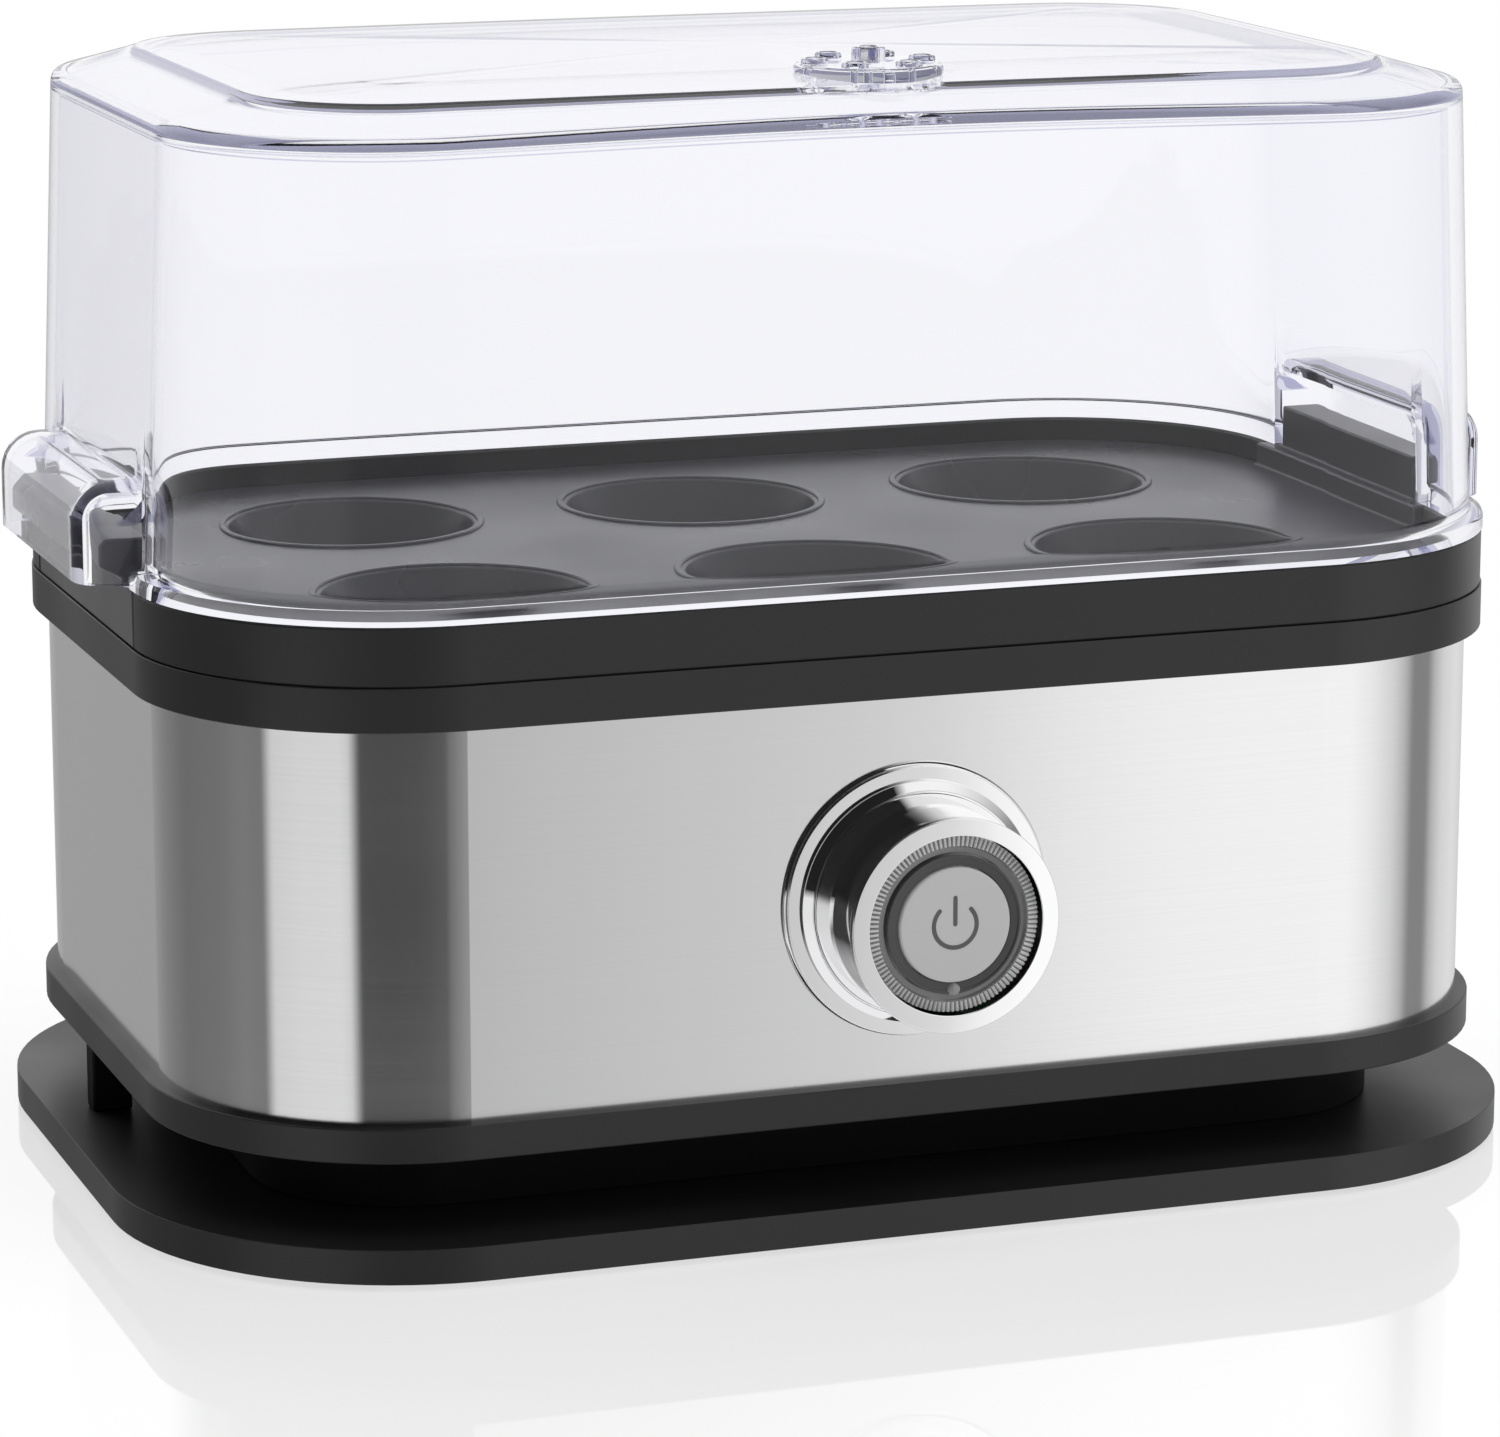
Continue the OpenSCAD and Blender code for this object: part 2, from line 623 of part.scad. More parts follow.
// The same shape at each small tube of the vent
module vent_places(z) for (i = [0 : vent_tubes - 1])
    translate([vent_pos[0], vent_pos[1], z]) rotate(vent_angle(i)) translate([vent_ring, 0, 0]) children();

module lid() color("#e6e8ef", 0.35) placed() difference() {
    union() {
        lid_shell();
        for (x = [0, 1]) mirror([x, 0, 0]) wing(0, body_w / 2 + lid_foot - 0.8 * lid_t, z_lid + 0.3);
        translate([vent_pos[0], vent_pos[1], z_disc - vent_h - 1.2]) cylinder(r = vent_r, h = vent_h + 1.2);
        vent_places(z_disc - 1) cylinder(r = vent_tube_r, h = 1.7, $fn = 24);
        translate([vent_pos[0], vent_pos[1], z_disc - 1]) cylinder(r = vent_mid_r, h = 3, $fn = 24);
    }
    for (x = [0, 1]) mirror([x, 0, 0]) wing(lid_t, body_w / 2 - body_r / 2, z_lid - over);
    vent_places(z_lid + lid_h - 6) cylinder(r = steam_r, h = 20, $fn = 20);
    translate([vent_pos[0], vent_pos[1], z_lid + lid_h - 6]) cylinder(r = steam_r + 0.2, h = 20, $fn = 20);
}

// ---- Knob ----

module knob_flange() color("#dadbdd") placed() on_knob_axis() rotate_extrude() {
    r_in = tail_r + ring_gap;
    translate([r_in, 0]) square([flange_r - r_in, flange_t - edge_round]);
    translate([r_in, 0]) square([flange_r - edge_round - r_in, flange_t]);
    translate([flange_r - edge_round, flange_t - edge_round]) circle(r = edge_round);
}

module knob_barrel() color("#dddedf") placed() on_knob_axis() rotate_extrude() polygon([
    [bore_r, -tail_l],
    [tail_r, -tail_l],
    [tail_r, flange_t + seat_gap],
    [barrel_foot_r, flange_t + seat_gap],
    [barrel_foot_r, flange_t + 1.2],
    [barrel_foot_r - 0.5, flange_t + 1.5],
    [barrel_foot_r - 0.5, flange_t + 1.9],
    [barrel_foot_r - 0.1, flange_t + 2.2],
    [barrel_r, flange_t + 4.6],
    [barrel_r, knob_l - 1.6],
    [lip_r, knob_l - 1.3],
    [lip_r, knob_l - 0.4],
    [lip_r - 0.4, knob_l],
    [bore_r, knob_l]]);

module knob_nut() color("#b5b6b8") placed() on_knob_axis() difference() {
    translate([0, 0, liner_in - nut_t]) cylinder(r = tail_r + 5.6, h = nut_t, $fn = 6);
    translate([0, 0, liner_in - nut_t - over]) cylinder(r = tail_r + ring_gap, h = nut_t + 2 * over);
}

// Clear light guide: carries the light of the board's lamps to the knob's face
module light_ring() color("#eef0f3", 0.5) placed() on_knob_axis()
    pipe(bore_r - ring_gap, bezel_r + ring_gap, board_face + led_h + 0.3, ring_front);

module button_bezel() color("#45464a") placed() on_knob_axis() {
    pipe(bezel_r, button_r + button_gap, spring_seat - 5, bezel_front);
    pipe(button_r + button_gap + 0.2, stem_r + 0.4, spring_seat - 1.2, spring_seat);
}

module button_cap() color("#b9babc") placed() on_knob_axis() {
    translate([0, 0, button_front - button_t]) cylinder(r = button_r, h = button_t);
    translate([0, 0, stem_end]) cylinder(r = stem_r, h = button_front - button_t - stem_end + 0.1);
}

spring_turns = 5;
spring_low = spring_seat + spring_wire + seat_gap;
spring_high = button_front - button_t - spring_wire - seat_gap;
function coil_point(t) = [spring_r * cos(360 * spring_turns * t), spring_r * sin(360 * spring_turns * t),
    spring_low + (spring_high - spring_low) * t];

module return_spring() color("#a9abad") placed() on_knob_axis()
    sweep([for (i = [0 : 16 * spring_turns]) coil_point(i / (16 * spring_turns))], spring_wire, 6);

module push_switch() color("#2e2f33") placed() on_knob_axis() difference() {
    translate([-switch_w / 2, -switch_w / 2, board_face]) cube([switch_w, switch_w, switch_h]);
    translate([0, 0, board_face + 0.3]) cylinder(r = plunger_r + ring_gap, h = switch_h);
}

plunger_r = 1.5;
module switch_plunger() color("#c9302c") placed() on_knob_axis()
    translate([0, 0, switch_face - 1.9]) cylinder(r = plunger_r, h = stem_end - seat_gap - switch_face + 1.9);

led_h = 1.6;

module control_board() color("#3c7a48") placed() on_knob_axis() difference() {
    translate([-board_half_w, board_low, board_face - board_t])
        cube([2 * board_half_w, board_high - board_low, board_t]);
    quarters(board_hole) translate([0, 0, board_face - board_t - over])
        cylinder(r = screw_r + through_gap, h = board_t + 2 * over);
}

// Relay, capacitor and plug on the back of the board
relay = [19, 15.5, 15];
capacitor_r = 5;
capacitor_h = 12;
plug = [14, 7, 8];
module board_components() color("#30568c") placed() on_knob_axis() translate([0, 0, board_face - board_t]) {
    translate([-18, -15, -relay[2]]) cube(relay);
    translate([11, 6, -capacitor_h]) cylinder(r = capacitor_r, h = capacitor_h);
    translate([6, -14, -plug[2]]) cube(plug);
}

led_w = 2.4;
led_count = 6;
module ring_leds() color("#f4f4ee") placed() on_knob_axis()
    for (i = [0 : led_count - 1]) rotate(360 * i / led_count)
        translate([(bezel_r + bore_r - led_w) / 2, -led_w / 2, board_face]) cube([led_w, led_w, led_h]);

// ---- Cord entry and leads ----

module terminal_block() color("#e3e1da") placed() difference() {
    translate([block_at[0] - block[0] / 2, block_at[1] - block[1] / 2, z_floor]) cube(block);
    // wells of the clamping screws
    for (i = [-1 : 1]) translate([block_at[0] + i * lead_spread, block_at[1], z_floor + 2])
        cylinder(r = 2 * lead_r, h = block[2]);
}

gland_in = 2.2;
module cord_gland() color("#1c1c1d") placed() translate([gland_x, core_y, z_gland]) rotate([90, 0, 0]) {
    pipe(gland_r, gland_bore_r, 0, core_wall + gland_in);
    pipe(gland_r + gland_lip, gland_bore_r, core_wall, core_wall + gland_in);
}

// Round wire swept along points, with n sides
module sweep(path, r, n) {
    m = len(path);
    ways = [for (i = [0 : m - 1]) unit(path[min(i + 1, m - 1)] - path[max(i - 1, 0)])];
    rings = [for (i = [0 : m - 1]) let (u = unit(cross(ways[i], side_axis(ways[i]))), v = cross(ways[i], u))
        [for (k = [0 : n - 1]) path[i] + r * cos(360 * k / n) * u + r * sin(360 * k / n) * v]];
    faces = [for (j = [0 : m - 2], k = [0 : n - 1]) let (a = j * n + k, b = j * n + (k + 1) % n)
        each [[a, b + n, b], [a, a + n, b + n]]];
    polyhedron([for (r = rings) each r], concat(faces,
        [[for (k = [0 : n - 1]) k]], [[for (k = [n - 1 : -1 : 0]) (m - 1) * n + k]]));
}
function unit(v) = v / norm(v);
// A sideways direction that never lines up with the lead or the coil
function side_axis(way) = abs(way[2]) < 0.9 ? [0, 0, 1] : [0, 1, 0];

lead_start = core_y - core_wall - gland_in - 0.1;
block_face = block_at[1] + block[1] / 2 + seat_gap;
z_entry = z_floor + 7;

// Lead i of the cord, from the gland up through the floor
function cord_lead(i) = [
    [gland_x + 2 * i, lead_start, z_gland],
    [gland_x + 2 * i, lead_start - 5, z_gland],
    [gland_x + 2.6 * i, lead_hole[1] + 1, z_skirt - 1.8],
    [gland_x + 3 * i, lead_hole[1] - 0.5, z_floor + 1]];

// From there to the terminal block
function block_lead(i) = concat(cord_lead(i), [
    [gland_x + lead_spread * i, block_face + 8, z_entry - 1],
    [gland_x + lead_spread * i, block_face, z_entry]]);

module lead_live() color("#7a4a2a") placed() sweep(block_lead(-1), lead_r, 8);
module lead_neutral() color("#3560a8") placed() sweep(block_lead(0), lead_r, 8);

// The earth lead runs past the block to the stud under the dish
module lead_earth() color("#6c9a34") placed() sweep(concat(cord_lead(1), [
    [gland_x + 4, lead_hole[1] - 2, z_floor + 14],
    [(gland_x + earth_at[0]) / 2 + 2, block_at[1] + 6, z_dish - 20],
    [earth_at[0], earth_at[1], z_dish - stud_h - 6],
    [earth_at[0], earth_at[1], z_dish - stud_h - 0.05]]), lead_r, 8);

// Lead from the block's end to one leg of the element
blade_end = element_end_x + bush_l + blade_l;
block_end = block_at[0] + block[0] / 2 + seat_gap;
function element_lead(s) = [
    [block_end, block_at[1] + 3.5 * s, z_entry],
    [block_end + 4, block_at[1] + 3.5 * s, z_entry + 1],
    [block_end + 5, block_at[1] + 5 * s, z_entry + 12],
    [blade_end + lead_slack / 2, s * element_pitch / 4, z_dish - 3 * lead_slack],
    [blade_end + 1.2 * lead_slack, s * (element_pitch - lead_slack) / 2, z_dish - 1.3 * lead_slack],
    [blade_end + lead_slack, s * element_pitch / 2, z_element],
    [blade_end - seat_gap, s * element_pitch / 2, z_element]];

module element_lead_front() color("#c8443a") placed() sweep(element_lead(-1), lead_r, 8);
module element_lead_rear() color("#c8443a") placed() sweep(element_lead(1), lead_r, 8);

// ---- Screws ----

module housing_screws() color("#a4a6a8") placed() quarters(housing_screw_at)
    translate([0, 0, z_skirt]) screw(floor_t + 9);
module plinth_screws() color("#a4a6a8") placed() quarters(plinth_screw_at)
    translate([0, 0, z_plinth + screw_head_h + 0.3]) screw(plinth_t + 5);
module rim_screws() color("#a4a6a8") placed() quarters(rim_screw_at)
    translate([0, 0, z_plate_ledge - plate_ledge_t]) screw(plate_ledge_t + seal_t + flange_sheet + 0.8);
module board_screws() color("#a4a6a8") placed() on_knob_axis() quarters(board_hole)
    translate([0, 0, board_face - board_t]) screw(board_t + 4);

plinth();
foot_front_left();
foot_front_right();
foot_rear_left();
foot_rear_right();
cord_post_left();
cord_post_right();
bottom_housing();
steel_band();
main_housing();
upper_rim();
plate_seal();
heating_plate();
heating_element();
element_terminals();
thermostat();
thermostat_bracket();
thermal_fuse();
earth_stud();
egg_tray();
lid();
knob_flange();
knob_barrel();
knob_nut();
light_ring();
button_bezel();
button_cap();
return_spring();
push_switch();
switch_plunger();
control_board();
board_components();
ring_leds();
terminal_block();
cord_gland();
lead_live();
lead_neutral();
lead_earth();
element_lead_front();
element_lead_rear();
housing_screws();
plinth_screws();
rim_screws();
board_screws();
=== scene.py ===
"""Looks of a six-egg steam cooker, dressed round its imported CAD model.

Lengths in the classes below are millimetres and become metres when a mesh is made.
+X is the right-hand end, -Y the front with the knob, and +Z up.
"""
import logging
import math
from dataclasses import dataclass
from enum import Enum
from typing import Iterable, Sequence

import bmesh
import bpy
from mathutils import Matrix, Vector


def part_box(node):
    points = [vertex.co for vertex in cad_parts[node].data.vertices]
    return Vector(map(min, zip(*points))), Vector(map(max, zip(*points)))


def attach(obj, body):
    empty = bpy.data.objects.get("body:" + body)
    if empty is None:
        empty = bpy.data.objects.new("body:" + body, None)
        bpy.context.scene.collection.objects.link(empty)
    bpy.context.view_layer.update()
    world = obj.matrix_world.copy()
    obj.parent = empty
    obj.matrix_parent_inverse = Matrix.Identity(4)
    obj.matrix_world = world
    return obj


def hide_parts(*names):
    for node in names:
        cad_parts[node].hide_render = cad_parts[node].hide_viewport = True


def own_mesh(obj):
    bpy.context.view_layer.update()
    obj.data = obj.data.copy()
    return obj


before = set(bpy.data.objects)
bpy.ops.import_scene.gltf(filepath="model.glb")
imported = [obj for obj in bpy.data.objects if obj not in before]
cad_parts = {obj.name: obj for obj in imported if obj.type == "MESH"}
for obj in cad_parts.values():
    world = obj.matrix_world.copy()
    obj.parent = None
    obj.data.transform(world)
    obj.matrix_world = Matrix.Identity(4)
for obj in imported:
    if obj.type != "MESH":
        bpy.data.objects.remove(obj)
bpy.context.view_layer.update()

MM = 0.001
LOG = logging.getLogger("egg_cooker")
MATERIALS: dict[str, bpy.types.Material] = {}

Pair = tuple[float, float]
Corner = tuple[float, float, float]


# ---- Shader maths ----


class Maths:
    """One output socket of a material's node tree, with Python's operators as Math nodes."""

    def __init__(self, paint: "Paint", socket: bpy.types.NodeSocket) -> None:
        """Wraps a socket of a paint's tree."""
        self.paint = paint
        self.socket = socket

    def _math(self, operation: str, first: object, second: object) -> "Maths":
        """Adds one Math node and returns its result."""
        return self.paint.node("ShaderNodeMath", {"operation": operation}, {0: first, 1: second})

    def __add__(self, other: object) -> "Maths":
        """Sum."""
        return self._math("ADD", self, other)

    __radd__ = __add__

    def __sub__(self, other: object) -> "Maths":
        """Difference."""
        return self._math("SUBTRACT", self, other)

    def __rsub__(self, other: object) -> "Maths":
        """Difference the other way round."""
        return self._math("SUBTRACT", other, self)

    def __mul__(self, other: object) -> "Maths":
        """Product."""
        return self._math("MULTIPLY", self, other)

    __rmul__ = __mul__

    def __pow__(self, other: object) -> "Maths":
        """Power."""
        return self._math("POWER", self, other)

    def most(self, other: object) -> "Maths":
        """The larger of the two."""
        return self._math("MAXIMUM", self, other)

    def above(self, other: object) -> "Maths":
        """1 where this is larger than the other, else 0."""
        return self._math("GREATER_THAN", self, other)

    def called(self, operation: str) -> "Maths":
        """A Math node with one input, such as SINE."""
        return self.paint.node("ShaderNodeMath", {"operation": operation}, {0: self})

    def mapped(self, low: float, high: float, to_low: float, to_high: float) -> "Maths":
        """Value moved from one range to another and held inside it.

        Args:
            low: Start of the range that comes in.
            high: End of the range that comes in.
            to_low: Value given for low.
            to_high: Value given for high.

        Returns:
            The mapped value.
        """
        return self.paint.node("ShaderNodeMapRange", {"clamp": True},
                               {0: self, 1: low, 2: high, 3: to_low, 4: to_high})


class Paint:
    """A node tree of a material or of the world, with short ways to add nodes to it."""

    def __init__(self, tree: bpy.types.NodeTree) -> None:
        """Empties the tree and keeps it."""
        tree.nodes.clear()
        self.tree = tree

    def node(self, kind: str, settings: dict[str, object] | None = None,
             inputs: dict[object, object] | None = None, output: object = 0) -> Maths:
        """Adds any node.

        Args:
            kind: Type of the node.
            settings: Properties of the node, set first.
            inputs: Value, colour or link of each socket, by name or number.
            output: Name or number of the output to return.

        Returns:
            The chosen output.
        """
        made = self.tree.nodes.new(kind)
        for key, value in (settings or {}).items():
            if key == "stops":
                self._stops(made, value)
            else:
                setattr(made, key, value)
        for key, value in (inputs or {}).items():
            socket = made.inputs[key]
            if isinstance(value, Maths):
                self.tree.links.new(value.socket, socket)
            elif isinstance(value, tuple) and len(value) == 3 and socket.type == "RGBA":
                socket.default_value = (*value, 1.0)
            else:
                socket.default_value = value
        return Maths(self, made.outputs[output]) if made.outputs else Maths(self, None)

    @staticmethod
    def _stops(ramp: bpy.types.Node, stops: Sequence[tuple[float, tuple[float, float, float]]]) -> None:
        """Gives a colour ramp its stops."""
        elements = ramp.color_ramp.elements
        while len(elements) < len(stops):
            elements.new(0.5)
        for element, (place, colour) in zip(elements, stops):
            element.position = place
            element.color = (*colour, 1.0)

    def place(self, scale: Sequence[float] = (1, 1, 1)) -> Maths:
        """Object coordinates in metres, scaled by a Mapping node."""
        where = self.node("ShaderNodeTexCoord", output="Object")
        return self.node("ShaderNodeMapping", None, {"Vector": where, "Scale": scale})

    def axis(self, vector: Maths, name: str) -> Maths:
        """One of X, Y and Z of a vector."""
        return self.node("ShaderNodeSeparateXYZ", None, {0: vector}, name)

    def noise(self, vector: Maths, scale: float, detail: float = 3.0, rough: float = 0.5) -> Maths:
        """Noise between 0 and 1."""
        return self.node("ShaderNodeTexNoise", None,
                         {"Vector": vector, "Scale": scale, "Detail": detail, "Roughness": rough})

    def blend(self, share: object, first: object, second: object) -> Maths:
        """Colour between two others."""
        made = self.tree.nodes.new("ShaderNodeMix")
        made.data_type = "RGBA"
        for key, value in ((0, share), (6, first), (7, second)):
            if isinstance(value, Maths):
                self.tree.links.new(value.socket, made.inputs[key])
            elif isinstance(value, tuple):
                made.inputs[key].default_value = (*value, 1.0)
            else:
                made.inputs[key].default_value = value
        return Maths(self, made.outputs[2])

    def bump(self, height: Maths, strength: float, distance: float) -> Maths:
        """Normal bent by a height; the distance is in metres."""
        return self.node("ShaderNodeBump", None,
                         {"Height": height, "Strength": strength, "Distance": distance})

    def finish(self, shader: Maths, kind: str = "ShaderNodeOutputMaterial") -> None:
        """Joins a shader to the tree's output."""
        self.node(kind, None, {0: shader})


# ---- Finishes ----


@dataclass(frozen=True)
class Finish:
    """A surface's plain values; its subclasses add what varies over it."""

    name: str
    colour: tuple[float, float, float]
    rough: float = 0.5
    metal: float = 0.0
    specular: float = 0.5

    def sockets(self, paint: Paint) -> dict[object, object]:
        """Sockets of the shader that differ from its plain values."""
        return {}

    def shader(self, paint: Paint, sockets: dict[object, object]) -> Maths:
        """The shader of the surface."""
        return paint.node("ShaderNodeBsdfPrincipled", None, sockets)

    def material(self) -> bpy.types.Material:
        """The Blender material, made on first use."""
        made = MATERIALS.get(self.name)
        if made is None:
            made = MATERIALS[self.name] = bpy.data.materials.new(self.name)
            made.use_nodes = True
            made.diffuse_color = (*self.colour, 1.0)
            paint = Paint(made.node_tree)
            sockets = {"Base Color": self.colour, "Roughness": self.rough, "Metallic": self.metal,
                       "Specular IOR Level": self.specular}
            sockets.update(self.sockets(paint))
            paint.finish(self.shader(paint, sockets))
        return made


@dataclass(frozen=True)
class Moulded(Finish):
    """Satin moulded plastic: a fine spark-eroded grain and faint clouding of its gloss."""

    grain: float = 2600.0
    depth: float = 0.05
    cloud: float = 0.06

    def sockets(self, paint: Paint) -> dict[object, object]:
        """Grain in the bump, clouding in roughness and colour."""
        where = paint.place()
        fine = paint.noise(where, self.grain, 2.0)
        broad = paint.noise(where, 26.0, 3.0)
        lighter = tuple(min(1.0, c * 1.25 + 0.002) for c in self.colour)
        return {"Base Color": paint.blend(broad, self.colour, lighter),
                "Roughness": broad.mapped(0.3, 0.7, self.rough - self.cloud, self.rough + self.cloud),
                "Normal": paint.bump(fine, self.depth, 0.00008)}


@dataclass(frozen=True)
class BandSteel(Finish):
    """Stainless sheet ground along the band, so that its highlights stretch upwards."""

    def sockets(self, paint: Paint) -> dict[object, object]:
        """Hair lines that run round the band."""
        hair = paint.noise(paint.place((6, 6, 5200)), 1.0, 2.0)
        broad = paint.noise(paint.place((14, 14, 30)), 1.0, 2.0)
        rough = hair.mapped(0.3, 0.7, self.rough - 0.008, self.rough + 0.008)
        return {"Base Color": paint.blend(hair.mapped(0.35, 0.65, 0.0, 1.0), self.colour,
                                          tuple(c * 0.985 for c in self.colour)),
                "Roughness": rough + broad.mapped(0.3, 0.7, -0.01, 0.01),
                "Anisotropic": 1.0, "Anisotropic Rotation": 0.25}


@dataclass(frozen=True)
class DrawnSteel(Finish):
    """Stainless sheet with a soft polish and faint water marks."""

    marks: float = 0.12

    def sockets(self, paint: Paint) -> dict[object, object]:
        """Fine scratches and clouds of dried water."""
        fine = paint.noise(paint.place((900, 60, 900)), 1.0, 3.0)
        cloud = paint.noise(paint.place(), 45.0, 5.0, 0.6).mapped(0.52, 0.72, 0.0, 1.0)
        return {"Base Color": paint.blend(cloud * self.marks, self.colour, (0.42, 0.4, 0.37)),
                "Roughness": fine.mapped(0.3, 0.7, self.rough - 0.04, self.rough + 0.04) + cloud * 0.12}


@dataclass(frozen=True)
class Plated(Finish):
    """Bright plating, with the faint ripple of polished metal under it."""

    ripple: float = 0.03

    def sockets(self, paint: Paint) -> dict[object, object]:
        """Slow ripple in the bump and light wiping marks in the gloss."""
        where = paint.place()
        slow = paint.noise(where, 140.0, 2.0)
        wipe = paint.noise(where, 600.0, 4.0)
        return {"Roughness": wipe.mapped(0.35, 0.75, self.rough, self.rough + 0.05),
                "Normal": paint.bump(slow, self.ripple, 0.0002)}


@dataclass(frozen=True)
class Clear(Finish):
    """Clear moulded plastic that lets lamp light through to what stands inside it."""

    bend: float = 1.3
    deep: float = 4.5
    edge: tuple[float, float, float] = (0.83, 0.83, 0.92)
    dim: tuple[float, float, float] = (0.77, 0.77, 0.85)

    def sockets(self, paint: Paint) -> dict[object, object]:
        """Flow marks of the moulding, in gloss and bump, and a deeper tint where it is seen edge on."""
        flow = paint.noise(paint.place((3, 3, 9)), 5.0, 2.0)
        facing = paint.node("ShaderNodeLayerWeight", None, {0: 0.5}, "Facing")
        return {"Transmission Weight": 1.0, "IOR": self.bend,
                "Base Color": paint.blend(facing ** 3.0, self.colour, self.edge),
                "Roughness": flow.mapped(0.3, 0.7, self.rough, self.rough + 0.012),
                "Normal": paint.bump(flow, 0.01, 0.0006)}

    def shader(self, paint: Paint, sockets: dict[object, object]) -> Maths:
        """Glass to the eye, a light veil to the lamps, and a way out for light caught in its edges."""
        glass = paint.node("ShaderNodeBsdfPrincipled", None, sockets)
        veil = paint.node("ShaderNodeBsdfTransparent", None, {0: tuple(c ** 0.5 for c in self.colour)})
        lamp = paint.node("ShaderNodeLightPath", output="Is Shadow Ray")
        lit = paint.node("ShaderNodeMixShader", None, {0: lamp, 1: glass, 2: veil})
        out = paint.node("ShaderNodeBsdfTransparent", None, {0: self.dim})
        caught = paint.node("ShaderNodeLightPath", output="Ray Depth").above(self.deep)
        return paint.node("ShaderNodeMixShader", None, {0: caught, 1: lit, 2: out})


@dataclass(frozen=True)
class Rubber(Finish):
    """Matt rubber with a dusty bloom."""

    def sockets(self, paint: Paint) -> dict[object, object]:
        """Bloom in the colour and a soft grain."""
        where = paint.place()
        bloom = paint.noise(where, 160.0, 4.0)
        dusty = tuple(min(1.0, c * 1.6 + 0.01) for c in self.colour)
        return {"Base Color": paint.blend(bloom, self.colour, dusty),
                "Normal": paint.bump(paint.noise(where, 1800.0, 2.0), 0.15, 0.0001)}


@dataclass(frozen=True)
class Striped(Finish):
    """Insulation with a second colour that winds round the lead."""

    second: tuple[float, float, float] = (0.6, 0.5, 0.05)

    def sockets(self, paint: Paint) -> dict[object, object]:
        """Bands across the lead's run."""
        where = paint.place((1, 1, 1.6))
        along = paint.axis(where, "X") + paint.axis(where, "Y") + paint.axis(where, "Z")
        band = (along * 900.0).called("SINE").above(0.25)
        return {"Base Color": paint.blend(band, self.colour, self.second)}


@dataclass(frozen=True)
class Board(Finish):
    """Green solder mask with copper tracks under it."""

    def sockets(self, paint: Paint) -> dict[object, object]:
        """Tracks as the borders of a square mosaic."""
        cells = paint.node("ShaderNodeTexVoronoi", {"distance": "CHEBYCHEV", "feature": "F1"},
                           {"Vector": paint.place((1, 0.1, 1)), "Scale": 260.0}, "Distance")
        track = cells.mapped(0.38, 0.44, 0.0, 1.0)
        lit = tuple(min(1.0, c * 2.2) for c in self.colour)
        return {"Base Color": paint.blend(track, self.colour, lit),
                "Normal": paint.bump(track, 0.3, 0.00003), "Coat Weight": 0.4}


class Looks:
    """Every finish of the cooker."""

    BLACK = Moulded("black_plastic", (0.007, 0.007, 0.0072), 0.4)
    # Painted shade: a black deeper than the plastic's own, for the shade in the channel under the skirt and on
    # the cord posts.
    SHADE_BLACK = Moulded("painted_shade_black", (0.002, 0.002, 0.002), 0.6, specular=0.12)
    TRAY = Moulded("tray_plastic", (0.024, 0.024, 0.027), 0.3, specular=0.38, depth=0.02)
    STEEL = BandSteel("satin_steel", (0.87, 0.87, 0.875), 0.12, 1.0)
    DISH = DrawnSteel("dish_steel", (0.62, 0.62, 0.61), 0.24, 1.0)
    CHROME = Plated("chrome_plate", (0.96, 0.96, 0.965), 0.02, 1.0)
    ZINC = Plated("zinc_plate", (0.5, 0.51, 0.53), 0.28, 1.0, ripple=0.1)
    BRASS = Plated("brass_stud", (0.62, 0.43, 0.16), 0.25, 1.0)
    SPRING = Plated("spring_steel", (0.46, 0.46, 0.48), 0.22, 1.0)
    SHEATH = DrawnSteel("element_sheath", (0.3, 0.29, 0.28), 0.42, 1.0, marks=0.5)
    LID = Clear("clear_lid", (0.965, 0.967, 0.99), 0.0, specular=0.3)
    GUIDE = Moulded("clear_guide", (0.14, 0.14, 0.142), 0.1, specular=0.8, grain=900.0)
    RIB = Moulded("guide_ribs", (0.36, 0.36, 0.362), 0.1, specular=1.0, grain=900.0, depth=0.2)
    BEZEL = Moulded("dark_grey_plastic", (0.032, 0.032, 0.033), 0.36)
    CAP = Moulded("silver_cap", (0.35, 0.35, 0.352), 0.42, metal=0.25, grain=3200.0)
    MARK = Moulded("power_mark", (0.055, 0.055, 0.057), 0.5)
    RUBBER = Rubber("foot_rubber", (0.02, 0.02, 0.02), 0.8)
    GLAND = Rubber("gland_rubber", (0.013, 0.013, 0.013), 0.7)
    SEAL = Rubber("silicone", (0.28, 0.28, 0.29), 0.6)
    CERAMIC = Moulded("ceramic_white", (0.72, 0.7, 0.63), 0.5, grain=700.0, depth=0.15)
    THERMOSTAT = Moulded("thermostat_case", (0.33, 0.27, 0.2), 0.35)
    RED = Moulded("red_plastic", (0.45, 0.03, 0.02), 0.3)
    BOARD = Board("board_green", (0.015, 0.09, 0.03), 0.35)
    PARTS = Moulded("component_blue", (0.02, 0.07, 0.24), 0.25)
    LAMP = Moulded("led_white", (0.8, 0.79, 0.7), 0.3)
    BROWN = Rubber("lead_brown", (0.13, 0.05, 0.02), 0.45)
    BLUE = Rubber("lead_blue", (0.02, 0.08, 0.3), 0.45)
    EARTH = Striped("lead_green", (0.1, 0.3, 0.03), 0.45)
    HOT = Rubber("lead_red", (0.4, 0.03, 0.025), 0.5)


# ---- Meshes ----


